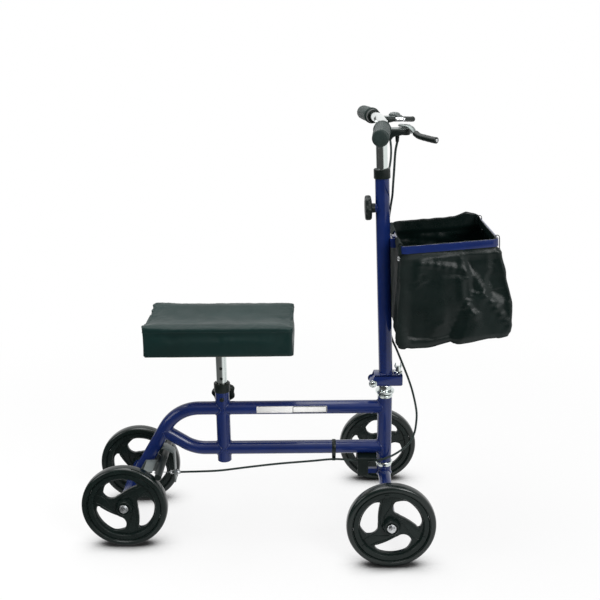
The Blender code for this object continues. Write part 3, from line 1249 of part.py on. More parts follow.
def build_walker():
    walker = add_empty("walker", (REAR_AXLE_X, 0, 0))
    steering = add_empty("steering_axis", (WHEELBASE, 0, 0), walker)
    fold = add_empty("fold_axis", (-FOLD_PIN_BACK, 0, FOLD_PIN_Z), steering)
    fold_turn = add_empty("column_fold_axis", (0, 0, 0), fold)
    column = add_empty("column_axis", (FOLD_PIN_BACK + COLUMN_FORWARD, 0, CHANNEL_TOP), fold_turn,
                       (0, -COLUMN_LEAN, 0))
    bar = add_empty("bar_axis", (0, 0, BAR_AT), column, (0, COLUMN_LEAN, 0))
    basket = add_empty("basket_axis", (BASKET_REAR_X, 0, BASKET_TOP_Z), walker,
                       (0, -math.radians(BASKET_TILT_DEG), 0))
    build_main_frame(walker)
    build_seat(walker)
    build_headset(walker, steering)
    build_fork(steering)
    build_stop(walker)
    build_fold(steering, fold)
    build_stem(fold_turn, column)
    build_handlebar(column, bar)
    side_places = {}
    for name, side in SIDES:
        side_axis = add_empty("bar_side_" + name, (0, side * BAR_BEND_Y, 0), bar, side_turn(side))
        build_grip(name, side, side_axis)
        build_lever_bracket(name, side, side_axis)
        build_lever(name, side, side_axis)
        bpy.context.view_layer.update()
        socket = Vector((CABLE_EXIT_FORWARD, side * CABLE_EXIT_OUTWARD, HOUSING_BOTTOM))
        side_places[name] = tuple(side_axis.matrix_world @ socket - walker.location)
        for end, parent, track in (("rear", walker, REAR_TRACK_HALF), ("front", steering, FRONT_TRACK_HALF)):
            build_wheel(end + "_" + name, parent, (0, side * track, AXLE_Z))
            build_axle_bolt(end + "_bolt_" + name, parent, track, side)
    build_brake(walker)
    build_hanger(walker)
    build_basket(column, basket)
    bpy.context.view_layer.update()
    carriers = {"walker": walker, "steering": steering, "column": column, "bar": bar}
    build_cables(walker, carriers, side_places)


build_walker()
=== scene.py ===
"""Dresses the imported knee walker: paint, chrome, rubber, the sewn knee cushion, the cloth bag and a studio."""
import json
import math
import random

import bmesh
import bpy
from bpy.props import FloatProperty, FloatVectorProperty, IntProperty, PointerProperty
from mathutils import Euler, Matrix, Vector, noise
from mathutils.bvhtree import BVHTree

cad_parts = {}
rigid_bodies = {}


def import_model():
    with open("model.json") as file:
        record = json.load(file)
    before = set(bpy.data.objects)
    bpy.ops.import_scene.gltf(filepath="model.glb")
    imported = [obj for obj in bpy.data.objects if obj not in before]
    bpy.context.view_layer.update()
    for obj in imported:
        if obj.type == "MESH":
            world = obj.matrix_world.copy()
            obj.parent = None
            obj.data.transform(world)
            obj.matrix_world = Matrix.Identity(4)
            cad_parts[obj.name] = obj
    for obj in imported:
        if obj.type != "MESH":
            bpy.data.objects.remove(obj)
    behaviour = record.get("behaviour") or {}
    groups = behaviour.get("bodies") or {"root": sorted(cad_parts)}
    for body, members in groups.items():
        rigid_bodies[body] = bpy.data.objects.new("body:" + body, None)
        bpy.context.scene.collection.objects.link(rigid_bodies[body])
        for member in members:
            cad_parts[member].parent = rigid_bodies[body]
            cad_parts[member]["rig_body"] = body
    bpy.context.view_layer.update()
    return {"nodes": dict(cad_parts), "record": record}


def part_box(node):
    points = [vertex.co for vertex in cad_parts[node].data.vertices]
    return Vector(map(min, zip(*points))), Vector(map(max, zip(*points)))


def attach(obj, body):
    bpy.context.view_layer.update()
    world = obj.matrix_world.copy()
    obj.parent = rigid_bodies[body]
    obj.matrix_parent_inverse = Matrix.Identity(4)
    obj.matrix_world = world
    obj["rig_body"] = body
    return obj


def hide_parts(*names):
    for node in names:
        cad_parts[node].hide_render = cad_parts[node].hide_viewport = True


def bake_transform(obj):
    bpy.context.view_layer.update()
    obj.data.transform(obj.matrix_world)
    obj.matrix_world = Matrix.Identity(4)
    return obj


bl_info = {
    "name": "Knee Walker Finish",
    "version": (1, 0, 0),
    "blender": (4, 5, 0),
    "location": "3D View > Sidebar > Knee Walker",
    "description": "Adds the finished surfaces, the knee cushion, the bag, the cables and the studio",
    "category": "Object",
}

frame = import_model()
JOINTS = {joint["name"]: joint for joint in frame["record"]["behaviour"]["joints"]}

RIGHT = -1
LEFT = 1
SIDES = (("right", RIGHT), ("left", LEFT))


def length(name, description, default):
    return FloatProperty(name=name, description=description, default=default, unit="LENGTH", precision=4)


def count(name, description, default):
    return IntProperty(name=name, description=description, default=default, min=1)


def colour(name, description, default):
    return FloatVectorProperty(name=name, description=description, default=default, size=3,
                               subtype="COLOR", min=0.0, max=1.0)


class WalkerColours(bpy.types.PropertyGroup):
    """Colours of the finishes."""
    blue_paint: colour("Blue paint", "Enamel of the frame, fork, column and basket", (0.0045, 0.014, 0.082))
    grey_paint: colour("Grey paint", "Brackets", (0.105, 0.122, 0.120))
    lever_alloy: colour("Lever alloy", "Blades of the brake levers", (0.17, 0.195, 0.19))
    chrome: colour("Chrome", "Posts, handlebar and headset", (0.70, 0.76, 0.74))
    bright_steel: colour("Bright steel", "Bolts and adjusters", (0.62, 0.64, 0.65))
    black_plastic: colour("Black plastic", "Knobs, bushes and lever housings", (0.004, 0.0075, 0.0065))
    wheel_plastic: colour("Wheel plastic", "Spoked wheels", (0.005, 0.0095, 0.0085))
    tyre_rubber: colour("Tyre rubber", "Solid tyres", (0.0035, 0.0075, 0.0065))
    black_rubber: colour("Black rubber", "Grips, seal and cable covers", (0.010, 0.020, 0.018))
    plywood: colour("Plywood", "Board under the cushion", (0.45, 0.30, 0.16))
    black_vinyl: colour("Black vinyl", "Cover of the knee cushion", (0.0030, 0.0160, 0.0145))
    black_cloth: colour("Black cloth", "Cloth of the bag", (0.0022, 0.0062, 0.0054))
    label: colour("Label", "Blank label on the upper tube", (0.95, 0.95, 0.93))
    floor: colour("Floor", "Studio floor", (0.86, 0.86, 0.86))


class WheelSizes(bpy.types.PropertyGroup):
    """Sizes of the wheels and tyres."""
    tyre_half_width: length("Tyre half width", "Half the width of the tyre", 0.014)
    seat_radius: length("Tyre seat radius", "Radius where the tyre sits on the rim", 0.0842)
    rim_inner_radius: length("Rim inner radius", "Radius where the rim meets the web", 0.070)
    rim_half_width: length("Rim half width", "Half the width of the rim", 0.011)
    web_half: length("Web half thickness", "Half the thickness of the spoked web", 0.005)
    opening_edge: length("Opening edge radius", "Rounding of the comma openings", 0.0012)
    hub_radius: length("Hub radius", "Radius of the hub", 0.017)
    hub_half_width: length("Hub half width", "Half the width of the hub", 0.017)
    rib_radius: length("Rib radius", "Radius of the raised ribs on the arms", 0.0014)
    steps: count("Steps round", "Facets round a wheel", 96)


class FrameSizes(bpy.types.PropertyGroup):
    """Sizes of the frame, fork and column."""
    tube_radius: length("Tube radius", "Radius of the main tubes and the column", 0.0159)
    upper_height: length("Upper tube height", "Height of the upper tube's middle line", 0.2932)
    lower_height: length("Lower tube height", "Height of the lower tube's middle line", 0.191)
    upper_bend_at: length("Upper bend place", "Distance of the upper bend from the rear axle", 0.168)
    upper_bend: length("Upper bend radius", "Radius of the upper tube's bend", 0.094)
    lower_bend_at: length("Lower bend place", "Distance of the lower bend from the rear axle", 0.180)
    lower_bend: length("Lower bend radius", "Radius of the lower tube's bend", 0.090)
    head_radius: length("Head tube radius", "Radius of the head tube", 0.017)
    head_low: length("Head tube foot", "Height of the head tube's lower end", 0.155)
    head_high: length("Head tube top", "Height of the head tube's upper end", 0.319)
    seat_radius: length("Seat tube radius", "Radius of the seat tube", 0.0165)
    seat_low: length("Seat tube foot", "Height of the seat tube's lower end", 0.159)
    seat_high: length("Seat tube top", "Height of the seat tube's upper end", 0.352)
    post_radius: length("Post radius", "Radius of the sliding posts", 0.0127)
    hole_pitch: length("Hole pitch", "Distance between a post's holes", 0.0254)
    hole_radius: length("Hole radius", "Radius of a post's holes", 0.0038)
    weld_radius: length("Weld radius", "Radius of the painted weld beads", 0.0022)
    boss_reach: length("Boss reach", "How far a clamp boss stands out from a tube's middle", 0.020)


class TrimSizes(bpy.types.PropertyGroup):
    """Sizes of the cushion, bag, cables and label."""
    voxel: length("Cushion voxel", "Remesh size of the cushion before it is filled", 0.005)
    puff: length("Cushion puff", "Farthest that the filling pushes the cover", 0.0035)
    cable_radius: length("Cable radius", "Radius of the cable's cover", 0.0025)
    cloth: length("Cloth thickness", "Thickness of the bag's cloth", 0.0012)
    label_length: length("Label length", "Length of the blank label", 0.165)
    label_height: length("Label height", "Height of the blank label along the tube", 0.017)


class StageSizes(bpy.types.PropertyGroup):
    """Camera and floor."""
    focal_pixels: FloatProperty(name="Focal length", description="Focal length in pixels of a 600 pixel frame",
                                default=931.88)
    camera_height: length("Camera height", "Height of the camera over the floor", 1.1645)
    camera_distance: length("Camera distance", "Distance of the camera from the middle plane", 2.0324)
    camera_forward: length("Camera forward", "Camera's place along the walker", 0.04297)
    floor_size: length("Floor size", "Side of the square floor", 14.0)


GROUPS = {"walker_colours": WalkerColours, "walker_wheels": WheelSizes, "walker_frame": FrameSizes,
          "walker_trim": TrimSizes, "walker_stage": StageSizes}


def sizes(group):
    return getattr(bpy.context.scene, "walker_" + group)


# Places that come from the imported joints


def pivot(joint):
    return Vector(JOINTS[joint]["pos_m"])


STEER_X = pivot("steering").x
AXLE = pivot("wheel_rear_right_spin")
SEAT_AXIS = pivot("seat_knob_turn")
FOLD_PIN = pivot("stem_fold")
COLUMN_UP = Vector(JOINTS["handlebar_height"]["axis"]).normalized()
BASKET_UP = Vector(JOINTS["basket_lift"]["axis"]).normalized()


def turned_to(origin, up, forward=(1.0, 0.0, 0.0)):
    """A frame at origin whose Z is up and whose X leans towards forward."""
    z = Vector(up).normalized()
    y = z.cross(Vector(forward)).normalized()
    x = y.cross(z)
    matrix = Matrix((x, y, z)).transposed().to_4x4()
    matrix.translation = origin
    return matrix


def aimed(origin, along):
    """A frame at origin whose Z runs along a direction."""
    matrix = Vector(along).to_track_quat("Z", "Y").to_matrix().to_4x4()
    matrix.translation = origin
    return matrix


CHANNEL_TOP = 0.020
COLUMN = turned_to((STEER_X + 0.0012, 0.0, FOLD_PIN.z + CHANNEL_TOP), COLUMN_UP)
STEM_KNOB = pivot("stem_knob_turn")
BAR_HEIGHT = 0.579
BAR_CENTRE = COLUMN @ Vector((0.0, 0.0, BAR_HEIGHT))
BAR_BEND = 0.060
BAR_LENGTH = 0.2035
BAR_RADIUS = 0.0111
BAR_SWEEP_DEG = 6.05
BAR_DROP_DEG = 1.5
BASKET = turned_to((STEER_X + 0.017, 0.0, 0.706), BASKET_UP)


def bar_side(side):
    """The frame of one half of the handlebar: X forward, Y to the left, Z up, at the bar's bend."""
    turn = Euler((-side * math.radians(BAR_DROP_DEG), 0.0, side * math.radians(BAR_SWEEP_DEG)))
    return Matrix.Translation(BAR_CENTRE + Vector((0.0, side * BAR_BEND, 0.0))) @ turn.to_matrix().to_4x4()


# Materials, each a node tree on Object coordinates


class Surface:
    """A Principled material with its Object coordinates and a few node shorthands."""

    def __init__(self, name, base, roughness, metallic=0.0):
        self.material = bpy.data.materials.new(name)
        self.material.use_nodes = True
        self.nodes = self.material.node_tree.nodes
        self.links = self.material.node_tree.links
        self.shader = self.nodes["Principled BSDF"]
        self.base = tuple(base)
        self.shader.inputs["Base Color"].default_value = (*self.base, 1.0)
        self.shader.inputs["Roughness"].default_value = roughness
        self.shader.inputs["Metallic"].default_value = metallic
        self.place = self.nodes.new("ShaderNodeTexCoord").outputs["Object"]
        self.height = None

    def set(self, **values):
        for name, value in values.items():
            self.shader.inputs[name.replace("_", " ")].default_value = value
        return self

    def noise(self, scale, detail=3.0, roughness=0.55, stretch=None):
        node = self.nodes.new("ShaderNodeTexNoise")
        node.inputs["Scale"].default_value = scale
        node.inputs["Detail"].default_value = detail
        node.inputs["Roughness"].default_value = roughness
        place = self.place
        if stretch is not None:
            mapping = self.nodes.new("ShaderNodeMapping")
            mapping.inputs["Scale"].default_value = stretch
            self.links.new(place, mapping.inputs["Vector"])
            place = mapping.outputs["Vector"]
        self.links.new(place, node.inputs["Vector"])
        return node.outputs["Fac"]

    def cells(self, scale, feature="DISTANCE_TO_EDGE"):
        node = self.nodes.new("ShaderNodeTexVoronoi")
        node.feature = feature
        node.inputs["Scale"].default_value = scale
        self.links.new(self.place, node.inputs["Vector"])
        return node.outputs["Distance"]

    def spread(self, factor, low, high, span=(0.3, 0.7)):
        """Maps a factor between two values."""
        node = self.nodes.new("ShaderNodeMapRange")
        node.inputs["From Min"].default_value = span[0]
        node.inputs["From Max"].default_value = span[1]
        node.inputs["To Min"].default_value = low
        node.inputs["To Max"].default_value = high
        self.links.new(factor, node.inputs["Value"])
        return node.outputs["Result"]

    def tint(self, factor, light, span=(0.3, 0.7)):
        """Colours the base between itself and a share of itself."""
        node = self.nodes.new("ShaderNodeMix")
        node.data_type = "RGBA"
        node.inputs[6].default_value = (*self.base, 1.0)
        node.inputs[7].default_value = (*[min(1.0, part * light) for part in self.base], 1.0)
        self.links.new(self.spread(factor, 0.0, 1.0, span), node.inputs[0])
        self.links.new(node.outputs[2], self.shader.inputs["Base Color"])
        return self

    def along(self, axis):
        node = self.nodes.new("ShaderNodeSeparateXYZ")
        self.links.new(self.place, node.inputs["Vector"])
        return node.outputs[axis]

    def rough(self, factor, low, high, duller=None):
        """Sets the roughness; duller is a place, where it starts and ends, and the roughness at its end."""
        value = self.spread(factor, low, high)
        if duller is not None:
            place, start, end, top = duller
            most = self.nodes.new("ShaderNodeMath")
            most.operation = "MAXIMUM"
            self.links.new(value, most.inputs[0])
            self.links.new(self.spread(place, top, low, (end, start)), most.inputs[1])
            value = most.outputs[0]
        self.links.new(value, self.shader.inputs["Roughness"])
        return self

    def bump(self, height, distance, strength=1.0):
        """Adds a bump, in metres, on top of those that are there."""
        node = self.nodes.new("ShaderNodeBump")
        node.inputs["Distance"].default_value = distance
        node.inputs["Strength"].default_value = strength
        self.links.new(height, node.inputs["Height"])
        if self.height is not None:
            self.links.new(self.height, node.inputs["Normal"])
        self.height = node.outputs["Normal"]
        self.links.new(self.height, self.shader.inputs["Normal"])
        return self


def paint_blue(tone):
    paint = Surface("blue_paint", tone.blue_paint, 0.20)
    paint.set(Coat_Weight=0.25, Coat_Roughness=0.05, Specular_IOR_Level=0.30)
    paint.tint(paint.noise(14.0, 4.0), 1.35)
    paint.rough(paint.noise(60.0), 0.16, 0.27)
    return paint.bump(paint.noise(420.0, 2.0), 0.00004)


def paint_grey(tone):
    paint = Surface("grey_paint", tone.grey_paint, 0.38, 0.3)
    paint.tint(paint.noise(40.0, 4.0), 1.3)
    paint.rough(paint.noise(90.0), 0.30, 0.46)
    return paint.bump(paint.noise(900.0, 2.0), 0.00003)


def cast_alloy(tone):
    metal = Surface("lever_alloy", tone.lever_alloy, 0.34, 0.7)
    metal.tint(metal.noise(60.0, 4.0), 0.80)
    metal.rough(metal.noise(120.0), 0.28, 0.42)
    return metal.bump(metal.noise(1400.0, 2.0), 0.00003)


def plate_chrome(tone):
    metal = Surface("chrome", tone.chrome, 0.10, 1.0)
    metal.tint(metal.noise(25.0, 4.0), 0.90)
    metal.rough(metal.noise(70.0), 0.07, 0.15)
    return metal.bump(metal.noise(300.0, 2.0), 0.00002)


def plate_steel(tone):
    metal = Surface("bright_steel", tone.bright_steel, 0.28, 1.0)
    metal.tint(metal.noise(160.0, 4.0), 0.72)
    metal.rough(metal.noise(240.0), 0.20, 0.38)
    return metal.bump(metal.noise(1500.0, 2.0), 0.00003)


def mould_plastic(tone):
    plastic = Surface("black_plastic", tone.black_plastic, 0.36).set(Specular_IOR_Level=0.24)
    plastic.tint(plastic.noise(50.0, 4.0), 1.5)
    plastic.rough(plastic.noise(120.0), 0.34, 0.48)
    return plastic.bump(plastic.noise(1600.0, 3.0), 0.00006)


def mould_wheel(tone):
    plastic = Surface("wheel_plastic", tone.wheel_plastic, 0.26).set(Specular_IOR_Level=0.22)
    plastic.tint(plastic.noise(30.0, 4.0), 1.4)
    plastic.rough(plastic.noise(80.0), 0.20, 0.34)
    return plastic.bump(plastic.noise(1100.0, 3.0), 0.00005)


def mould_tyre(tone):
    rubber = Surface("tyre_rubber", tone.tyre_rubber, 0.18).set(Specular_IOR_Level=0.42)
    rubber.tint(rubber.noise(35.0, 5.0), 1.6)
    rubber.rough(rubber.noise(45.0, 4.0), 0.12, 0.22)
    return rubber.bump(rubber.noise(700.0, 2.0), 0.00003)


def mould_rubber(tone):
    rubber = Surface("black_rubber", tone.black_rubber, 0.55)
    rubber.set(Sheen_Weight=0.06, Sheen_Roughness=0.4, Specular_IOR_Level=0.30)
    rubber.tint(rubber.noise(60.0, 4.0), 1.3)
    rubber.rough(rubber.noise(150.0), 0.46, 0.62)
    return rubber.bump(rubber.noise(1300.0, 3.0), 0.00008)


def saw_plywood(tone):
    wood = Surface("plywood", tone.plywood, 0.65)
    wood.tint(wood.noise(30.0, 6.0, 0.6, (1.0, 6.0, 40.0)), 0.55)
    wood.rough(wood.noise(80.0), 0.55, 0.75)
    return wood.bump(wood.noise(60.0, 6.0, 0.6, (1.0, 8.0, 30.0)), 0.0002)


def grain_vinyl(tone):
    vinyl = Surface("black_vinyl", tone.black_vinyl, 0.42)
    vinyl.set(Specular_IOR_Level=0.20)
    vinyl.tint(vinyl.noise(9.0, 5.0), 1.35)
    vinyl.rough(vinyl.noise(28.0, 4.0), 0.36, 0.50)
    vinyl.bump(vinyl.noise(420.0, 4.0), 0.00010)
    return vinyl.bump(vinyl.cells(620.0), 0.00030)


def weave_cloth(tone):
    cloth = Surface("black_cloth", tone.black_cloth, 0.38)
    cloth.set(Specular_IOR_Level=0.24)
    cloth.tint(cloth.noise(12.0, 5.0), 1.5)
    cloth.rough(cloth.noise(40.0, 4.0), 0.25, 0.38, (cloth.along("X"), STEER_X + 0.050, STEER_X + 0.018, 0.90))
    cloth.bump(cloth.noise(24.0, 2.0, 0.4, (1.0, 1.0, 0.4)), 0.0012)
    return cloth.bump(cloth.cells(1300.0, "F1"), 0.00010)


def print_label(tone):
    label = Surface("label_face", tone.label, 0.45)
    label.tint(label.noise(60.0, 3.0), 0.92)
    return label.bump(label.noise(500.0), 0.00002)


FINISHES = {"blue_paint": paint_blue, "grey_paint": paint_grey, "lever_alloy": cast_alloy, "chrome": plate_chrome,
            "bright_steel": plate_steel, "black_plastic": mould_plastic, "wheel_plastic": mould_wheel,
            "tyre_rubber": mould_tyre, "black_rubber": mould_rubber, "plywood": saw_plywood,
            "black_vinyl": grain_vinyl, "black_cloth": weave_cloth, "label_face": print_label}


def finish_of(name):
    """The named material, made when it is first asked for."""
    material = bpy.data.materials.get(name)
    if material is None or not material.use_nodes or "Texture Coordinate" not in material.node_tree.nodes:
        if material is not None:
            material.name = name + "_packed"
        material = FINISHES[name](sizes("colours")).material
    return material


# Modelling shorthands on bmesh operators


def new_verts(made):
    return [item for item in made["geom"] if isinstance(item, bmesh.types.BMVert)]


def frames_along(points):
    """A frame at each point of a path, with Z along it and no twist."""
    points = [Vector(point) for point in points]
    tangents = [(after - before).normalized() for before, after in
                zip([points[0]] + points[:-1], points[1:] + [points[-1]])]
    turn = tangents[0].to_track_quat("Z", "Y")
    frames = []
    for index, point in enumerate(points):
        if index:
            turn = tangents[index - 1].rotation_difference(tangents[index]) @ turn
        frames.append(Matrix.Translation(point) @ turn.to_matrix().to_4x4())
    return frames


def sweep(bm, frames, radius, sides=32, scales=None, closed=False):
    """Extrudes a circle from frame to frame and fills both ends, or joins them when closed."""
    scales = scales or [(1.0, 1.0)] * len(frames)
    size = [Matrix.Diagonal((sx, sy, 1.0, 1.0)) for sx, sy in scales]
    ring = bmesh.ops.create_circle(bm, segments=sides, radius=radius, cap_ends=False,
                                   matrix=frames[0] @ size[0])["verts"]
    edges = list({edge for vert in ring for edge in vert.link_edges})
    first = edges
    for index in range(1, len(frames)):
        made = bmesh.ops.extrude_edge_only(bm, edges=edges)
        back = (frames[index - 1] @ size[index - 1]).inverted()
        bmesh.ops.transform(bm, matrix=frames[index] @ size[index] @ back, verts=new_verts(made))
        edges = [item for item in made["geom"] if isinstance(item, bmesh.types.BMEdge) and item.is_boundary]
    if closed:
        bmesh.ops.bridge_loops(bm, edges=first + edges)
    else:
        bmesh.ops.edgeloop_fill(bm, edges=first)
        bmesh.ops.edgeloop_fill(bm, edges=edges)


def tube(bm, points, radius, sides=32):
    sweep(bm, frames_along(points), radius, sides)


def rod(bm, start, end, radius, sides=32, end_radius=None):
    """A closed cylinder or cone between two points."""
    start, end = Vector(start), Vector(end)
    bmesh.ops.create_cone(bm, cap_ends=True, segments=sides, radius1=radius,
                          radius2=radius if end_radius is None else end_radius,
                          depth=(end - start).length, matrix=aimed((start + end) / 2, end - start))


def spin_profile(bm, profile, place, steps=48, closed=True):
    """Spins a profile of (radius, height) points about the place's Z axis."""
    verts = [bm.verts.new(place @ Vector((radius, 0.0, height))) for radius, height in profile]
    pairs = list(zip(verts, verts[1:]))
    if closed:
        pairs.append((verts[-1], verts[0]))
    edges = [bm.edges.new(pair) for pair in pairs]
    axis = place.to_3x3() @ Vector((0.0, 0.0, 1.0))
    bmesh.ops.spin(bm, geom=verts + edges, cent=place.translation, axis=axis,
                   angle=2 * math.pi, steps=steps, use_merge=True)


def block(bm, low, high, place=None):
    """A box between two corners of a frame."""
    low, high = Vector(low), Vector(high)
    shape = Matrix.Translation((low + high) / 2) @ Matrix.Diagonal((*(high - low), 1.0))
    made = bmesh.ops.create_cube(bm, size=1.0, matrix=shape if place is None else place @ shape)
    return made["verts"]


def slab(bm, outline, thickness, place):
    """A closed plate from an XY outline, centred on its frame."""
    verts = [bm.verts.new(place @ Vector((x, y, -thickness / 2))) for x, y in outline]
    face = bm.faces.new(verts)
    made = bmesh.ops.extrude_face_region(bm, geom=[face])
    up = place.to_3x3() @ Vector((0.0, 0.0, thickness))
    bmesh.ops.translate(bm, vec=up, verts=new_verts(made))


def round_edges(bm, width, segments=2, sharp_deg=32.0, faces=None):
    """Bevels the edges that turn by more than an angle."""
    limit = math.radians(sharp_deg)
    pool = bm.edges if faces is None else {edge for face in faces for edge in face.edges}
    edges = [edge for edge in pool if len(edge.link_faces) == 2 and edge.calc_face_angle(0.0) > limit]
    bmesh.ops.bevel(bm, geom=edges, offset=width, offset_type="OFFSET", segments=segments, profile=0.5,
                    affect="EDGES", clamp_overlap=True, material=-1)


def arc(centre, radius, first_deg, last_deg, steps):
    return [(centre[0] + radius * math.cos(math.radians(first_deg + (last_deg - first_deg) * i / steps)),
             centre[1] + radius * math.sin(math.radians(first_deg + (last_deg - first_deg) * i / steps)))
            for i in range(steps + 1)]


def smooth_path(points, steps, closed=False):
    """Points on a smooth curve through a route's own points."""
    route = [Vector(point) for point in points]
    if closed:
        padded = [route[-1]] + route + route[:2]
        stretches = len(route)
    else:
        padded = [2 * route[0] - route[1]] + route + [2 * route[-1] - route[-2]]
        stretches = len(route) - 1
    smooth = []
    for index in range(stretches):
        before, start, end, after = padded[index:index + 4]
        for step in range(steps):
            t = step / steps
            smooth.append(0.5 * (2 * start + (end - before) * t
                                 + (2 * before - 5 * start + 4 * end - after) * t * t
                                 + (3 * start - before - 3 * end + after) * t ** 3))
    if not closed:
        smooth.append(route[-1])
    return smooth


def spaced(outline, steps):
    """Evenly spaced points round a closed outline."""
    outline = outline + outline[:1]
    spans = [math.dist(a, b) for a, b in zip(outline, outline[1:])]
    total = sum(spans)
    points, index, passed = [], 0, 0.0
    for step in range(steps):
        goal = total * step / steps
        while passed + spans[index] < goal:
            passed += spans[index]
            index += 1
        share = (goal - passed) / spans[index]
        a, b = outline[index], outline[index + 1]
        points.append((a[0] + (b[0] - a[0]) * share, a[1] + (b[1] - a[1]) * share))
    return points


def weld(bm, branch, branch_radius, tube_radius, tube_axis, bead, sides=10, steps=48):
    """A bead where a branch tube, run along its frame's Z, enters a tube through the frame's origin."""
    inverse = branch.to_3x3().inverted()
    along = (inverse @ Vector(tube_axis)).normalized()
    points = []
    for index in range(steps):
        angle = 2 * math.pi * index / steps
        flat = Vector((branch_radius * math.cos(angle), branch_radius * math.sin(angle), 0.0))
        across = flat - along * flat.dot(along)
        climb = Vector((0.0, 0.0, 1.0)) - along * along.z
        a = climb.length_squared
        b = across.dot(climb)
        c = across.length_squared - tube_radius ** 2
        root = math.sqrt(max(0.0, b * b - a * c))
        points.append(branch @ (flat + Vector((0.0, 0.0, (root - b) / a))))
    frames = frames_along(points + [points[0]])[:-1]
    sweep(bm, frames, bead, sides, closed=True)


def add_piece(bm, name, body, finish, replaces=(), sharp_deg=38.0, merge=True):
    """Turns a bmesh into a finished piece that rides on a body and stands for its CAD nodes."""
    if merge:
        bmesh.ops.remove_doubles(bm, verts=bm.verts, dist=0.000002)
        bmesh.ops.recalc_face_normals(bm, faces=bm.faces)
    mesh = bpy.data.meshes.new(name)
    bm.to_mesh(mesh)
    bm.free()
    mesh.materials.append(finish_of(finish))
    mesh.shade_smooth()
    mesh.set_sharp_from_angle(angle=math.radians(sharp_deg))
    piece = bpy.data.objects.new(name, mesh)
    bpy.context.scene.collection.objects.link(piece)
    if body is not None:
        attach(piece, body)
    if replaces:
        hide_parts(*replaces)
    return piece


def softened(node, body, finish, edge=0.0008, name=None):
    """A copy of a CAD node with its flat faces whole and its edges rounded, in the node's place."""
    bm = bmesh.new()
    bm.from_mesh(frame["nodes"][node].data)
    bmesh.ops.remove_doubles(bm, verts=bm.verts, dist=0.00001)
    bmesh.ops.dissolve_limit(bm, angle_limit=math.radians(1.0), verts=bm.verts, edges=bm.edges)
    round_edges(bm, edge, 3, 40.0)
    return add_piece(bm, name or node + "_finish", body, finish, (node,))


def drilled(piece, cutters):
    """Cuts closed shapes out of a piece and leaves the result in its mesh."""
    cutter = bpy.data.objects.new(piece.name + "_cutter", bpy.data.meshes.new(piece.name + "_cutter"))
    cutters.to_mesh(cutter.data)
    cutters.free()
    bpy.context.scene.collection.objects.link(cutter)
    cut = piece.modifiers.new("holes", "BOOLEAN")
    cut.operation = "DIFFERENCE"
    cut.solver = "EXACT"
    cut.use_self = True
    cut.object = cutter
    bpy.context.view_layer.update()
    mesh = bpy.data.meshes.new_from_object(piece.evaluated_get(bpy.context.evaluated_depsgraph_get()))
    old = piece.data
    piece.modifiers.clear()
    piece.data = mesh
    mesh.name = piece.name
    bpy.data.meshes.remove(old)
    bpy.data.objects.remove(cutter)
    mesh.shade_smooth()
    mesh.set_sharp_from_angle(angle=math.radians(38.0))
    return piece


# The main frame


def tail_angle(size):
    back_z = size.upper_height - size.upper_bend - AXLE.z
    reach = math.hypot(size.upper_bend_at, back_z)
    return math.atan2(back_z, size.upper_bend_at) + math.asin(size.upper_bend / reach)


def upper_line(size, steps=28):
    """The upper tube's middle line from the head tube round its bend to the rear axle."""
    centre = AXLE.x + size.upper_bend_at, size.upper_height - size.upper_bend
    line = [Vector((STEER_X, 0.0, size.upper_height))]
    for index in range(steps + 1):
        turn = tail_angle(size) * index / steps
        line.append(Vector((centre[0] - size.upper_bend * math.sin(turn), 0.0,
                            centre[1] + size.upper_bend * math.cos(turn))))
    line.append(Vector((AXLE.x, 0.0, AXLE.z)))
    return line


LOWER_RISE = math.radians(33.0)


def lower_line(size, steps=16):
    """The lower tube's middle line from the head tube round its bend up to the tail."""
    centre = AXLE.x + size.lower_bend_at, size.lower_height + size.lower_bend
    line = [Vector((STEER_X, 0.0, size.lower_height))]
    for index in range(steps + 1):
        turn = LOWER_RISE * index / steps
        line.append(Vector((centre[0] - size.lower_bend * math.sin(turn), 0.0,
                            centre[1] - size.lower_bend * math.cos(turn))))
    ahead = Vector((-math.cos(LOWER_RISE), 0.0, math.sin(LOWER_RISE)))
    slope = tail_angle(size)
    normal = Vector((math.sin(slope), 0.0, -math.cos(slope)))
    reach = (line[-1] - Vector((AXLE.x, 0.0, AXLE.z))).dot(normal) / -ahead.dot(normal)
    line.append(line[-1] + ahead * reach)
    return line


def upright_tube(bm, x, radius, bore, low, high, steps=64):
    """An open-ended tube with rounded lips, standing at x on the middle plane."""
    lip = 0.0006
    spin_profile(bm, [(bore, low + lip), (bore + lip, low), (radius - lip, low), (radius, low + lip),
                      (radius, high - lip), (radius - lip, high), (bore + lip, high), (bore, high - lip)],
                 Matrix.Translation((x, 0.0, 0.0)), steps)


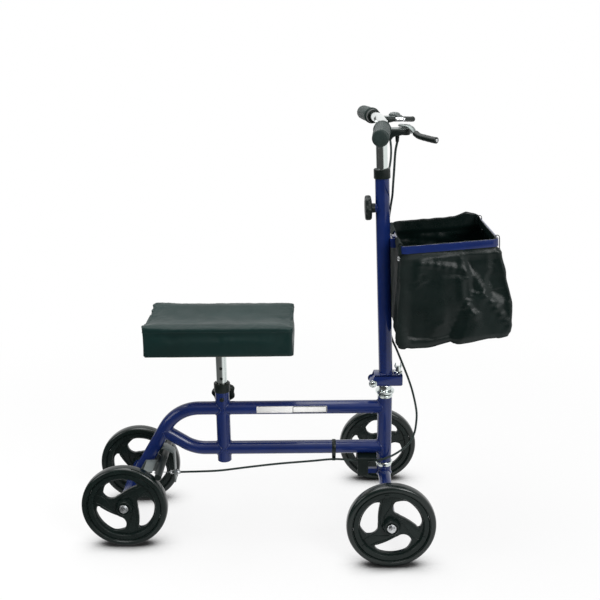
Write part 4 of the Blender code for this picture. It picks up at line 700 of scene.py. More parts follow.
class WALKER_OT_frame_tubes(bpy.types.Operator):
    """Main frame: two long tubes, the head, seat and axle tubes, the clamp boss and the weld beads"""
    bl_idname = "walker.frame_tubes"
    bl_label = "Frame tubes"

    def execute(self, context):
        size = sizes("frame")
        bm = bmesh.new()
        radius = size.tube_radius
        tube(bm, upper_line(size), radius, 64)
        tube(bm, lower_line(size), radius, 64)
        upright_tube(bm, STEER_X, size.head_radius, 0.0152, size.head_low, size.head_high)
        upright_tube(bm, SEAT_AXIS.x, size.seat_radius, 0.0143, size.seat_low, size.seat_high)
        axle_half = 0.0927
        rod(bm, (AXLE.x, -axle_half, AXLE.z), (AXLE.x, axle_half, AXLE.z), 0.0163, 64)
        rod(bm, (SEAT_AXIS.x, radius - 0.003, SEAT_AXIS.z), (SEAT_AXIS.x, size.boss_reach, SEAT_AXIS.z), 0.009, 40)
        bead = size.weld_radius
        for height in (size.upper_height, size.lower_height):
            for way in (1.0, -1.0):
                seat = aimed((SEAT_AXIS.x, 0.0, height), (way, 0.0, 0.0))
                weld(bm, seat, radius, size.seat_radius, (0.0, 0.0, 1.0), bead)
            head = aimed((STEER_X, 0.0, height), (-1.0, 0.0, 0.0))
            weld(bm, head, radius, size.head_radius, (0.0, 0.0, 1.0), bead)
        slope = tail_angle(size)
        tail = Vector((math.cos(slope), 0.0, math.sin(slope)))
        lower_end = lower_line(size)[-1]
        joint = aimed(lower_end, (math.cos(LOWER_RISE), 0.0, -math.sin(LOWER_RISE)))
        weld(bm, joint, radius, radius, tail, bead)
        axle = aimed((AXLE.x, 0.0, AXLE.z), tail)
        weld(bm, axle, radius, 0.0163, (0.0, 1.0, 0.0), bead)
        boss = aimed((SEAT_AXIS.x, 0.0, SEAT_AXIS.z), (0.0, 1.0, 0.0))
        weld(bm, boss, 0.009, size.seat_radius, (0.0, 0.0, 1.0), 0.0014)
        add_piece(bm, "frame_tubes", "frame", "blue_paint", ("main_frame",))
        for node in ("brake_bracket_right", "brake_bracket_left", "brake_hanger"):
            softened(node, "frame", "grey_paint", 0.0005)
        softened("steering_stop", "frame", "black_plastic", 0.0010)
        return {"FINISHED"}


class WALKER_OT_wheels(bpy.types.Operator):
    """Four spoked wheels with comma openings, raised ribs and solid tyres"""
    bl_idname = "walker.wheels"
    bl_label = "Wheels and tyres"

    def execute(self, context):
        size = sizes("wheels")
        for end, track in (("rear", "rear"), ("front", "front")):
            for name, side in SIDES:
                dress_wheel(size, "%s_%s" % (end, name))
        return {"FINISHED"}


# Comma-shaped openings, in shares of the tyre radius and degrees from the tip
TYRE_RADIUS = 0.100
WHEEL_TURNS_DEG = {"rear_right": 25.0, "rear_left": 0.0, "front_right": 80.0, "front_left": 0.0}
TIP_DEG = 35.5


def wheel_point(share, degrees, turn_deg=0.0):
    angle = math.radians(TIP_DEG + degrees + turn_deg)
    return Vector((share * TYRE_RADIUS * math.cos(angle), share * TYRE_RADIUS * math.sin(angle), 0.0))


def comma_outline(turn_deg):
    points = [wheel_point(0.55, 3, turn_deg), wheel_point(0.59, -1, turn_deg), wheel_point(0.64, 1, turn_deg)]
    points += [wheel_point(0.68, degrees, turn_deg) for degrees in (12, 30, 48, 66)]
    bulb = wheel_point(0.48, 68, turn_deg)
    heading = TIP_DEG + 68 + turn_deg
    points += [Vector((x, y, 0.0)) for x, y in arc(bulb, 0.185 * TYRE_RADIUS, heading + 60, heading + 190, 5)]
    points += [wheel_point(share, degrees, turn_deg) for share, degrees in ((0.30, 52), (0.35, 32), (0.44, 15))]
    return smooth_path(points, 4, closed=True)


def flat_curve(outlines, half, edge):
    """A plate with rounded rims from closed outlines, of which inner ones are holes, as a bmesh."""
    curve = bpy.data.curves.new("flat", "CURVE")
    curve.dimensions = "2D"
    curve.fill_mode = "BOTH"
    curve.extrude = half - edge
    curve.bevel_depth = edge
    curve.bevel_resolution = 2
    curve.offset = -edge
    for outline in outlines:
        spline = curve.splines.new("POLY")
        spline.points.add(len(outline) - 1)
        spline.use_cyclic_u = True
        for point, place in zip(spline.points, outline):
            point.co = (place[0], place[1], 0.0, 1.0)
    holder = bpy.data.objects.new("flat", curve)
    bpy.context.scene.collection.objects.link(holder)
    bpy.context.view_layer.update()
    mesh = bpy.data.meshes.new_from_object(holder.evaluated_get(bpy.context.evaluated_depsgraph_get()))
    bm = bmesh.new()
    bm.from_mesh(mesh)
    bpy.data.objects.remove(holder)
    bpy.data.curves.remove(curve)
    bpy.data.meshes.remove(mesh)
    bmesh.ops.remove_doubles(bm, verts=bm.verts, dist=0.000005)
    return bm


def dress_wheel(size, name):
    hub = pivot("wheel_%s_spin" % name)
    spin = Matrix.Rotation(math.radians(-WHEEL_TURNS_DEG[name]), 4, "Y")
    place = Matrix.Translation(hub) @ spin @ Matrix.Rotation(math.pi / 2, 4, "X")
    outlines = [arc((0, 0), size.rim_inner_radius + 0.002, 0, 360, 120)[:-1],
                list(reversed(arc((0, 0), size.hub_radius - 0.002, 0, 360, 48)[:-1]))]
    outlines += [comma_outline(turn) for turn in (0.0, 120.0, 240.0)]
    bm = flat_curve(outlines, size.web_half, size.opening_edge)
    bm.transform(place)
    web, rim, half = size.web_half, size.rim_inner_radius, size.rim_half_width
    lip = 0.0012
    seat = size.seat_radius - 0.0004
    spin_profile(bm, [(rim, -web + lip), (rim + 0.0022, -half + lip), (rim + 0.0034, -half), (seat - lip, -half),
                      (seat, -half + lip), (seat, half - lip), (seat - lip, half), (rim + 0.0034, half),
                      (rim + 0.0022, half - lip), (rim, web - lip)], place, size.steps)
    bore, radius, width = 0.0045, size.hub_radius, size.hub_half_width
    flare = 0.004
    profile = [(bore, width - 0.0004), (0.0095, width - 0.0004), (0.0105, width - 0.0022),
               (0.0130, width - 0.0022), (0.0138, width), (radius - 0.001, width), (radius, width - 0.001),
               (radius + flare * 0.4, web + 0.003), (radius + flare, web - 0.0004)]
    spin_profile(bm, profile + [(r, -h) for r, h in reversed(profile)], place, 64)
    for turn in (0.0, 120.0, 240.0):
        for face in (1.0, -1.0):
            add_ribs(bm, size, place, turn, face)
    body = "wheel_" + name
    add_piece(bm, "spoked_wheel_" + name, body, "wheel_plastic", ("wheel_" + name,))
    bm = bmesh.new()
    spin_profile(bm, tyre_profile(size, hub.z), place, size.steps)
    add_piece(bm, "solid_tyre_" + name, body, "tyre_rubber", ("tyre_" + name,), 50.0)


def add_ribs(bm, size, place, turn, face):
    """Two raised ribs that run from the hub out along one arm, and a stop lug at the rim."""
    lift = Vector((0.0, 0.0, face * size.web_half))
    for route in (((0.20, 78), (0.25, 52), (0.315, 28), (0.405, 10), (0.52, -3), (0.66, -9)),
                  ((0.20, 38), (0.27, 10), (0.36, -12), (0.48, -24), (0.60, -27), (0.70, -25))):
        line = [wheel_point(share, degrees, turn) + lift for share, degrees in route]
        frames = frames_along([place @ point for point in smooth_path(line, 6)])
        sweep(bm, frames, size.rib_radius, 10)
    angle = math.radians(TIP_DEG + turn - 17)
    spot = place @ Matrix.Translation(lift) @ Matrix.Rotation(angle, 4, "Z")
    verts = block(bm, (0.0725, -0.0045, -0.001), (0.0790, 0.0045, 0.0075 if face > 0 else 0.001), spot)
    if face < 0:
        bmesh.ops.translate(bm, vec=spot.to_3x3() @ Vector((0, 0, -0.0065)), verts=verts)


def tyre_profile(size, radius):
    """A tyre's section: flat seat, bulging walls with a bead line, and a round tread."""
    half = size.tyre_half_width
    seat = size.seat_radius
    height = radius - seat
    wall = []
    for index in range(0, 19):
        angle = math.radians(90 - 10 * index)
        across = half * math.copysign(abs(math.sin(angle)) ** 0.62, math.sin(angle))
        up = max(0.0, math.cos(angle)) ** 0.55
        wall.append((seat + 0.0032 + (height - 0.0032) * up, across))
    groove = 0.0006
    sides = [(seat, half - 0.003), (seat + 0.0012, half - 0.0012), (seat + 0.0022, half - 0.0010 - groove)]
    return sides + wall + [(r, -y) for r, y in reversed(sides)]


def dress_bolt(node, body, side):
    """A domed washer, a chamfered hexagon nut and the axle's rounded end."""
    low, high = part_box(node)
    centre = Vector(((low.x + high.x) / 2, 0.0, (low.z + high.z) / 2))
    inner, outer = (low.y, high.y) if side > 0 else (high.y, low.y)
    face = outer - side * 0.0081
    place = aimed(Vector((centre.x, face, centre.z)), (0.0, side, 0.0))
    bm = bmesh.new()
    bmesh.ops.create_cone(bm, cap_ends=True, segments=6, radius1=0.0079, radius2=0.0079, depth=0.0058,
                          matrix=place @ Matrix.Translation((0, 0, 0.0016 + 0.0029)))
    round_edges(bm, 0.0007, 2)
    spin_profile(bm, [(0.0042, 0.0), (0.0100, 0.0), (0.0100, 0.0010), (0.0094, 0.0016), (0.0042, 0.0019)],
                 place, 40)
    spin_profile(bm, [(0.0, 0.0081), (0.0026, 0.0080), (0.0038, 0.0074), (0.0040, 0.0060), (0.0040, -0.0340),
                      (0.0, -0.0340)], place, 28, closed=False)
    add_piece(bm, node + "_finish", body, "bright_steel", (node,))


class WALKER_OT_axle_bolts(bpy.types.Operator):
    """Axle bolts with washers and nuts at the four hubs"""
    bl_idname = "walker.axle_bolts"
    bl_label = "Axle bolts"

    def execute(self, context):
        for name, side in SIDES:
            dress_bolt("rear_bolt_" + name, "frame", side)
            dress_bolt("front_bolt_" + name, "steering", side)
        return {"FINISHED"}


class WALKER_OT_fork(bpy.types.Operator):
    """Front fork: arched beam, crown, stop finger and welds"""
    bl_idname = "walker.fork"
    bl_label = "Front fork"

    def execute(self, context):
        size = sizes("frame")
        half, straight, rise = 0.1887, 0.015, 0.025
        middle, thin = 0.0148, 0.0125
        arched = half - straight
        points, scales = [], []
        steps = 56
        for index in range(steps + 1):
            y = half * (2 * index / steps - 1)
            swell = math.cos(math.pi * min(abs(y), arched) / (2 * arched)) ** 2
            points.append((STEER_X, y, AXLE.z + rise * swell))
            share = (thin + (middle - thin) * swell) / middle
            scales.append((share, share))
        bm = bmesh.new()
        sweep(bm, frames_along(points), middle, 56, scales)
        beam_z = AXLE.z + rise
        crown_top = size.head_low - 0.012
        rod(bm, (STEER_X, 0, beam_z - 0.006), (STEER_X, 0, crown_top), 0.017, 64)
        rod(bm, (STEER_X, 0, beam_z), (STEER_X, 0, 0.3637), size.post_radius, 48)
        block(bm, (STEER_X - 0.048, -0.005, beam_z - 0.002), (STEER_X, 0.005, beam_z + 0.010))
        up = aimed((STEER_X, 0.0, beam_z), (0.0, 0.0, 1.0))
        weld(bm, up, 0.017, middle, (0.0, 1.0, 0.0), size.weld_radius)
        add_piece(bm, "fork_beam", "steering", "blue_paint", ("front_fork",))
        return {"FINISHED"}


class WALKER_OT_headset(bpy.types.Operator):
    """Headset cups, seal and locknut round the steerer"""
    bl_idname = "walker.headset"
    bl_label = "Headset"

    def execute(self, context):
        size = sizes("frame")
        place = Matrix.Translation((STEER_X, 0.0, 0.0))
        bore = 0.0131
        low = size.head_low - 0.0003
        bm = bmesh.new()
        spin_profile(bm, [(bore, low + 0.010), (0.0148, low + 0.010), (0.0148, low), (0.0192, low),
                          (0.0200, low - 0.0012), (0.0200, low - 0.0050), (0.0190, low - 0.0062),
                          (0.0178, low - 0.0066), (0.0178, low - 0.0102), (0.0170, low - 0.0114),
                          (bore, low - 0.0114)], place, 64)
        add_piece(bm, "lower_cup", "frame", "chrome", ("headset_lower_cup",))
        high = size.head_high + 0.0003
        bm = bmesh.new()
        spin_profile(bm, [(bore, high + 0.007), (0.0168, high + 0.007), (0.0180, high + 0.0056),
                          (0.0180, high + 0.0012), (0.0172, high), (0.0148, high), (0.0148, high - 0.010),
                          (bore, high - 0.010)], place, 64)
        add_piece(bm, "upper_cup", "frame", "chrome", ("headset_upper_cup",))
        ring = high + 0.0073
        bm = bmesh.new()
        spin_profile(bm, [(bore, ring + 0.003), (0.0158, ring + 0.003), (0.0165, ring + 0.0015),
                          (0.0158, ring), (bore, ring)], place, 64)
        add_piece(bm, "rubber_seal", "frame", "black_rubber", ("headset_seal",))
        nut = ring + 0.0033
        bm = bmesh.new()
        spin_profile(bm, [(bore, nut + 0.0204), (0.0138, nut + 0.0204), (0.0150, nut + 0.0190),
                          (0.0155, nut + 0.0175), (0.0155, nut + 0.0082), (0.0168, nut + 0.0070),
                          (0.0208, nut + 0.0070), (0.0220, nut + 0.0056), (0.0220, nut + 0.0014),
                          (0.0206, nut), (bore, nut)], place, 64)
        add_piece(bm, "locknut", "steering", "chrome", ("headset_locknut",))
        return {"FINISHED"}


FOLD = Matrix.Translation(FOLD_PIN)
STANDING = Matrix.Rotation(math.pi / 2, 4, "X")


class WALKER_OT_column(bpy.types.Operator):
    """Folding column: channel, leaning tube and clamp boss, the block that it folds on and its pin"""
    bl_idname = "walker.column"
    bl_label = "Folding column"

    def execute(self, context):
        size = sizes("frame")
        bm = bmesh.new()
        outline = arc((0, 0), 0.0095, -90, -270, 20) + [(0.004, 0.0200), (0.0685, 0.0200), (0.0685, -0.004),
                                                        (0.012, -0.004)]
        for side in (RIGHT, LEFT):
            cheek = FOLD @ Matrix.Translation((0.0, side * 0.0185, 0.0)) @ STANDING
            slab(bm, outline, 0.003, cheek)
        block(bm, (0.0035, -0.0200, 0.0170), (0.0685, 0.0200, 0.0200), FOLD)
        round_edges(bm, 0.0006, 2)
        height = 0.471
        spin_profile(bm, [(0.0143, -0.0006), (0.0159, -0.0006), (0.0159, height - 0.0008), (0.0152, height),
                          (0.0148, height), (0.0143, height - 0.0006)], COLUMN, 64)
        weld_frames = frames_along([COLUMN @ Vector((0.0160 * math.cos(a), 0.0160 * math.sin(a), 0.0004))
                                    for a in [2 * math.pi * i / 48 for i in range(49)]])[:-1]
        sweep(bm, weld_frames, size.weld_radius * 0.8, 10, closed=True)
        knob_at = (COLUMN.inverted() @ STEM_KNOB).z
        back = COLUMN.to_3x3() @ Vector((-1.0, 0.0, 0.0))
        centre = COLUMN @ Vector((0.0, 0.0, knob_at))
        rod(bm, centre + back * 0.0130, centre + back * size.boss_reach, 0.009, 40)
        weld(bm, aimed(centre, back), 0.009, size.tube_radius, COLUMN_UP, 0.0014)
        add_piece(bm, "column_tube", "stem", "blue_paint", ("stem_column",))
        softened("fold_base", "steering", "blue_paint", 0.0012)
        bm = bmesh.new()
        half = 0.0203
        rod(bm, FOLD_PIN + Vector((0, -half, 0)), FOLD_PIN + Vector((0, half, 0)), 0.003, 24)
        for side in (RIGHT, LEFT):
            seat = aimed(FOLD_PIN + Vector((0, side * half, 0)), (0, side, 0))
            spin_profile(bm, [(0.0, 0.0), (0.0090, 0.0), (0.0090, 0.0010), (0.0084, 0.0016), (0.0, 0.0018)],
                         seat, 36, closed=False)
            spin_profile(bm, [(0.0, 0.0016), (0.0062, 0.0016), (0.0064, 0.0034), (0.0055, 0.0050),
                              (0.0030, 0.0056), (0.0, 0.0057)], seat, 36, closed=False)
        add_piece(bm, "fold_pin_finish", "steering", "chrome", ("fold_pin",))
        return {"FINISHED"}


class WALKER_OT_wing_bolt(bpy.types.Operator):
    """Captive wing bolt that locks the folding joint"""
    bl_idname = "walker.wing_bolt"
    bl_label = "Wing bolt"

    def execute(self, context):
        place = Matrix.Translation(pivot("fold_wing_turn"))
        top = FOLD_PIN.z + CHANNEL_TOP + 0.0003 - place.translation.z
        bm = bmesh.new()
        spin_profile(bm, [(0.0, top - 0.0122), (0.0030, top - 0.0122), (0.0030, top), (0.0100, top),
                          (0.0100, top + 0.0026), (0.0090, top + 0.0038), (0.0072, top + 0.0042),
                          (0.0058, top + 0.0100), (0.0046, top + 0.0160), (0.0, top + 0.0168)], place, 40, False)
        for side in (RIGHT, LEFT):
            start = place @ Vector((side * 0.0040, 0.0, top + 0.0100))
            middle = place @ Vector((side * 0.0066, 0.0, top + 0.0170))
            end = place @ Vector((side * 0.0060, 0.0, top + 0.0236))
            frames = frames_along(smooth_path([start, middle, end], 6))
            scales = [(1.0, 0.55 + 0.45 * math.sin(math.pi * min(1.0, i / 9))) for i in range(len(frames))]
            sweep(bm, frames, 0.0026, 14, scales)
        add_piece(bm, "wing_bolt", "fold_wing", "chrome", ("fold_wing_bolt",))
        return {"FINISHED"}


def dress_bush(name, body, node, place, tube_top, tube_radius, skirt):
    """A moulded collar over a tube's end with a rounded lip."""
    top = tube_top + 0.006
    bore = 0.0130
    outer = tube_radius + 0.0003
    cap = outer + 0.0022
    bm = bmesh.new()
    spin_profile(bm, [(bore, top - 0.0008), (bore + 0.0008, top), (cap - 0.0016, top), (cap, top - 0.0016),
                      (cap, top - skirt + 0.0010), (cap - 0.0006, top - skirt), (outer, top - skirt),
                      (outer, tube_top + 0.0003), (bore, tube_top + 0.0003)], place, 64)
    add_piece(bm, name, body, "black_plastic", (node,))


def dress_knob(name, body, node, place):
    """A lobed hand knob with a dished face and soft lobes, along the place's Z."""
    bm = bmesh.new()
    radius, depth, lobes, steps = 0.0285, 0.0034, 7, 140
    sections = ((0.0243, 0.62), (0.0250, 0.86), (0.0272, 0.975), (0.0300, 1.0), (0.0345, 1.0), (0.0372, 0.975),
                (0.0388, 0.90), (0.0393, 0.80), (0.0386, 0.62), (0.0376, 0.45), (0.0374, 0.20))
    ring = bmesh.ops.create_circle(bm, segments=steps, radius=1.0, cap_ends=False)["verts"]
    edges = list({edge for vert in ring for edge in vert.link_edges})
    first = edges
    verts = ring
    for index, (height, share) in enumerate(sections):
        if index:
            made = bmesh.ops.extrude_edge_only(bm, edges=edges)
            verts = new_verts(made)
            edges = [e for e in made["geom"] if isinstance(e, bmesh.types.BMEdge) and e.is_boundary]
        for vert in verts:
            angle = math.atan2(vert.co.y, vert.co.x)
            wave = (1 - math.cos(lobes * angle)) / 2
            reach = share * (radius - depth * wave * min(1.0, share * 1.4 - 0.4 if share > 0.3 else 0.0))
            vert.co = (reach * math.cos(angle), reach * math.sin(angle), height)
    bmesh.ops.edgeloop_fill(bm, edges=first)
    bmesh.ops.edgeloop_fill(bm, edges=edges)
    bm.transform(place)
    spin_profile(bm, [(0.0, 0.0130), (0.0034, 0.0130), (0.0034, 0.0203), (0.0092, 0.0203), (0.0092, 0.0170),
                      (0.0101, 0.0170), (0.0104, 0.0180), (0.0106, 0.0245), (0.0, 0.0245)], place, 40, closed=False)
    add_piece(bm, name, body, "black_plastic", (node,), 50.0)


class WALKER_OT_knobs(bpy.types.Operator):
    """Plastic collars on the seat tube and column, and their two clamp knobs"""
    bl_idname = "walker.knobs"
    bl_label = "Collars and knobs"

    def execute(self, context):
        size = sizes("frame")
        seat = Matrix.Translation((SEAT_AXIS.x, 0.0, 0.0))
        dress_bush("seat_collar", "frame", "seat_bush", seat, size.seat_high, size.seat_radius, 0.0217)
        dress_bush("column_collar", "stem", "stem_bush", COLUMN, 0.471, size.tube_radius, 0.0217)
        dress_knob("seat_knob_finish", "seat_knob", "seat_knob", aimed(SEAT_AXIS, (0.0, 1.0, 0.0)))
        back = Vector(JOINTS["stem_knob_turn"]["axis"])
        dress_knob("column_knob_finish", "stem_knob", "stem_knob", aimed(STEM_KNOB, back))
        bm = bmesh.new()
        plug = aimed(Vector((SEAT_AXIS.x, -0.0150, SEAT_AXIS.z)), (0.0, -1.0, 0.0))
        spin_profile(bm, [(0.0, 0.0045), (0.0030, 0.0042), (0.0050, 0.0028), (0.0052, 0.0012), (0.0052, -0.001),
                          (0.0, -0.001)], plug, 32, closed=False)
        add_piece(bm, "seat_tube_plug", "frame", "black_plastic")
        bm = bmesh.new()
        knob_at = (COLUMN.inverted() @ STEM_KNOB).z
        front = COLUMN @ Vector((0.0150, 0.0, knob_at))
        plug = aimed(front, COLUMN.to_3x3() @ Vector((1.0, 0.0, 0.0)))
        spin_profile(bm, [(0.0, 0.0045), (0.0030, 0.0042), (0.0050, 0.0028), (0.0052, 0.0012), (0.0052, -0.001),
                          (0.0, -0.001)], plug, 32, closed=False)
        add_piece(bm, "column_plug", "stem", "black_plastic")
        return {"FINISHED"}


class WALKER_OT_seat_post(bpy.types.Operator):
    """Chrome seat post with its row of holes, its plate and the board"""
    bl_idname = "walker.seat_post"
    bl_label = "Seat post and board"

    def execute(self, context):
        size = sizes("frame")
        low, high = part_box("seat_post")
        bm = bmesh.new()
        radius = size.post_radius - 0.0001
        spin_profile(bm, [(0.0106, low.z), (radius, low.z), (radius, high.z), (0.0, high.z),
                          (0.0, high.z - 0.003), (0.0106, high.z - 0.003)],
                     Matrix.Translation((SEAT_AXIS.x, 0.0, 0.0)), 64, closed=False)
        bmesh.ops.holes_fill(bm, edges=[edge for edge in bm.edges if edge.is_boundary], sides=0)
        post = add_piece(bm, "seat_post_finish", "seat", "chrome", ("seat_post",))
        cutters = bmesh.new()
        for index in range(-1, 4):
            z = SEAT_AXIS.z + index * size.hole_pitch
            rod(cutters, (SEAT_AXIS.x, -0.03, z), (SEAT_AXIS.x, 0.03, z), size.hole_radius, 32)
        drilled(post, cutters)
        bm = bmesh.new()
        # A black core inside the bore: painted shade that shows through the holes
        rod(bm, (SEAT_AXIS.x, 0.0, low.z + 0.001), (SEAT_AXIS.x, 0.0, high.z - 0.004), 0.0103, 40)
        add_piece(bm, "post_shade_core", "seat", "black_plastic")
        softened("seat_plate", "seat", "bright_steel", 0.0006)
        softened("knee_board", "seat", "plywood", 0.0008)
        return {"FINISHED"}


# The knee cushion


def cushion_cage():
    """A coarse closed form of the cushion: a trough along its top, and sides that draw in."""
    low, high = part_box("knee_pad")
    middle = (low + high) / 2
    half = (high - low) / 2
    bm = bmesh.new()
    bmesh.ops.create_cube(bm, size=2.0)
    for axis, parts in ((0, 24), (1, 16), (2, 6)):
        for index in range(1, parts):
            spot, normal = Vector((0, 0, 0)), Vector((0, 0, 0))
            spot[axis] = 2 * index / parts - 1
            normal[axis] = 1
            bmesh.ops.bisect_plane(bm, geom=bm.verts[:] + bm.edges[:] + bm.faces[:], plane_co=spot,
                                   plane_no=normal, dist=0.00001)
    corner = 0.006
    for vert in bm.verts:
        along, across, up = vert.co
        spot = Vector((along * half.x, across * half.y, up * half.z))
        spot.x -= 0.0025 * max(0.0, -along) ** 4
        if up > 0:
            spot.z += 0.0030 * max(0.0, -along) ** 3 * up
            spot.z -= 0.0115 * max(0.0, 1 - (across / 0.86) ** 2) ** 1.3 * up
            spot.z -= 0.003 * max(0.0, along) ** 4 * up
        waist = 0.0025 * (1 - up * up)
        spot.x -= math.copysign(waist, along) * abs(along) ** 8
        spot.y -= math.copysign(waist, across) * abs(across) ** 8
        inner = Vector((half.x - corner, half.y - corner, 0.0))
        flat = Vector((spot.x, spot.y, 0.0))
        over = Vector((max(0.0, abs(flat.x) - inner.x), max(0.0, abs(flat.y) - inner.y), 0.0))
        if over.x > 0 and over.y > 0 and over.length > corner:
            over *= corner / over.length
            spot.x = math.copysign(inner.x + over.x, flat.x)
            spot.y = math.copysign(inner.y + over.y, flat.y)
        vert.co = middle + spot
    return bm


class WALKER_OT_cushion(bpy.types.Operator):
    """Knee cushion: a filled vinyl cover with puckered seams and stitches"""
    bl_idname = "walker.cushion"
    bl_label = "Knee cushion"

    def execute(self, context):
        size = sizes("trim")
        low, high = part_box("knee_pad")
        bm = cushion_cage()
        bmesh.ops.recalc_face_normals(bm, faces=bm.faces)
        mesh = bpy.data.meshes.new("knee_cushion")
        bm.to_mesh(mesh)
        bm.free()
        cushion = bpy.data.objects.new("knee_cushion", mesh)
        context.scene.collection.objects.link(cushion)
        remesh = cushion.modifiers.new("even", "REMESH")
        remesh.mode = "VOXEL"
        remesh.voxel_size = size.voxel
        context.view_layer.update()
        bake_modifiers(cushion)
        puff_up(cushion, low, high, size.puff)
        smooth = cushion.modifiers.new("smooth", "SUBSURF")
        smooth.levels = 1
        smooth.render_levels = 1
        context.view_layer.update()
        bake_modifiers(cushion)
        fit_cushion(cushion.data, low, high)
        cushion.data.materials.clear()
        cushion.data.materials.append(finish_of("black_vinyl"))
        cushion.data.shade_smooth()
        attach(cushion, "seat")
        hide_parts("knee_pad")
        sew_cushion(cushion, low, high)
        return {"FINISHED"}


def bake_modifiers(piece):
    """Leaves what the modifiers show in the piece's own mesh."""
    mesh = bpy.data.meshes.new_from_object(piece.evaluated_get(bpy.context.evaluated_depsgraph_get()))
    old = piece.data
    piece.modifiers.clear()
    piece.data = mesh
    name = old.name
    bpy.data.meshes.remove(old)
    mesh.name = name


def puff_up(piece, low, high, farthest):
    """Fills the cover with a short pressure simulation that leaves its stitched edges where they are."""
    scene = bpy.context.scene
    rest = [vert.co.copy() for vert in piece.data.vertices]
    held = piece.vertex_groups.new(name="held")
    held.add([i for i, spot in enumerate(rest) if spot.z < low.z + 0.004], 1.0, "REPLACE")
    cloth = piece.modifiers.new("filling", "CLOTH")
    settings = cloth.settings
    settings.quality = 6
    settings.mass = 0.3
    settings.tension_stiffness = 15
    settings.compression_stiffness = 15
    settings.bending_stiffness = 2.0
    settings.use_pressure = True
    settings.uniform_pressure_force = 4.0
    settings.vertex_group_mass = "held"
    settings.effector_weights.gravity = 0.0
    cloth.point_cache.frame_start = 1
    cloth.point_cache.frame_end = 20
    for step in range(1, 21):
        scene.frame_set(step)
    moved = piece.evaluated_get(bpy.context.evaluated_depsgraph_get()).to_mesh()
    places = [vert.co.copy() for vert in moved.vertices]
    piece.modifiers.clear()
    for vert, start, place in zip(piece.data.vertices, rest, places):
        step = place - start
        if step.length > farthest:
            step *= farthest / step.length
        edge = sorted(min(start[a] - low[a], high[a] - start[a]) for a in range(3))[1]
        vert.co = start + step * max(0.0, min(1.0, edge / 0.030))
    piece.vertex_groups.clear()
    scene.frame_set(1)


def fit_cushion(mesh, low, high):
    """Draws the cushion into its place, flat below, with puckers along the top seam and soft hollows."""
    size = high - low
    for vert in mesh.vertices:
        spot = Vector([min(high[a] + 0.003, max(low[a] - 0.003, vert.co[a])) for a in range(3)])
        share = [(spot[a] - low[a]) / size[a] for a in range(3)]
        edge_x = 1 - min(share[0], 1 - share[0]) * size.x / 0.05
        edge_y = 1 - min(share[1], 1 - share[1]) * size.y / 0.03
        rim = max(0.0, edge_x, edge_y)
        if share[2] > 0.55 and rim > 0:
            crimp = noise.noise(Vector((spot.x * 95, spot.y * 95, 0.3)))
            fade = min(1.0, (share[2] - 0.55) / 0.25) * rim
            spot.z -= 0.0011 * fade * (0.5 + crimp)
        spot.z -= 0.0006 * noise.noise(Vector((spot.x * 22, spot.y * 22, 1.7))) * (share[2] > 0.5)
        spot.z = max(spot.z, low.z)
        vert.co = spot


def seam_line(low, high, inset, corner, steps=220):
    """Points round the cushion's plan, a rounded rectangle drawn in by inset."""
    half = Vector(((high.x - low.x) / 2 - inset, (high.y - low.y) / 2 - inset))
    centre = ((low.x + high.x) / 2, (low.y + high.y) / 2)
    outline = []
    for quarter, (sx, sy) in enumerate(((1, 1), (-1, 1), (-1, -1), (1, -1))):
        middle = (sx * (half.x - corner), sy * (half.y - corner))
        outline += arc(middle, corner, 90 * quarter, 90 * quarter + 90, 8)
    return [Vector((centre[0] + x, centre[1] + y, 0.0)) for x, y in spaced(outline, steps)]


def sew_cushion(cushion, low, high):
    """The seam's welt round the top edge, and a row of stitches inside it."""
    surface = BVHTree.FromPolygons([v.co for v in cushion.data.vertices],
                                   [p.vertices for p in cushion.data.polygons])
    middle = (low + high) / 2

    def on_cover(point, lift, z_share):
        outward = Vector((point.x - middle.x, point.y - middle.y, 0.0)).normalized()
        probe = Vector((point.x, point.y, low.z + (high.z - low.z) * z_share)) + outward * 0.004
        spot, normal, _, _ = surface.find_nearest(probe)
        return spot + normal * lift, normal

    bm = bmesh.new()
    line = [on_cover(point, 0.0002, 0.84)[0] for point in seam_line(low, high, 0.001, 0.012)]
    sweep(bm, frames_along(line + [line[0]])[:-1], 0.0009, 8, closed=True)
    add_piece(bm, "cushion_welt", "seat", "black_vinyl")
    bm = bmesh.new()
    places = [on_cover(point, 0.00015, 1.0) for point in seam_line(low, high, 0.009, 0.010, 560)]
    for index in range(0, len(places) - 1, 2):
        (a, n), (b, _) = places[index], places[index + 1]
        stitch = turned_to((a + b) / 2, n, (b - a).normalized())
        shape = Matrix.Diagonal(((b - a).length / 2, 0.00035, 0.00035, 1.0))
        bmesh.ops.create_icosphere(bm, subdivisions=1, radius=1.0, matrix=stitch @ shape)
    add_piece(bm, "cushion_stitches", "seat", "black_vinyl", sharp_deg=80.0)


# Handlebar, grips and brake levers


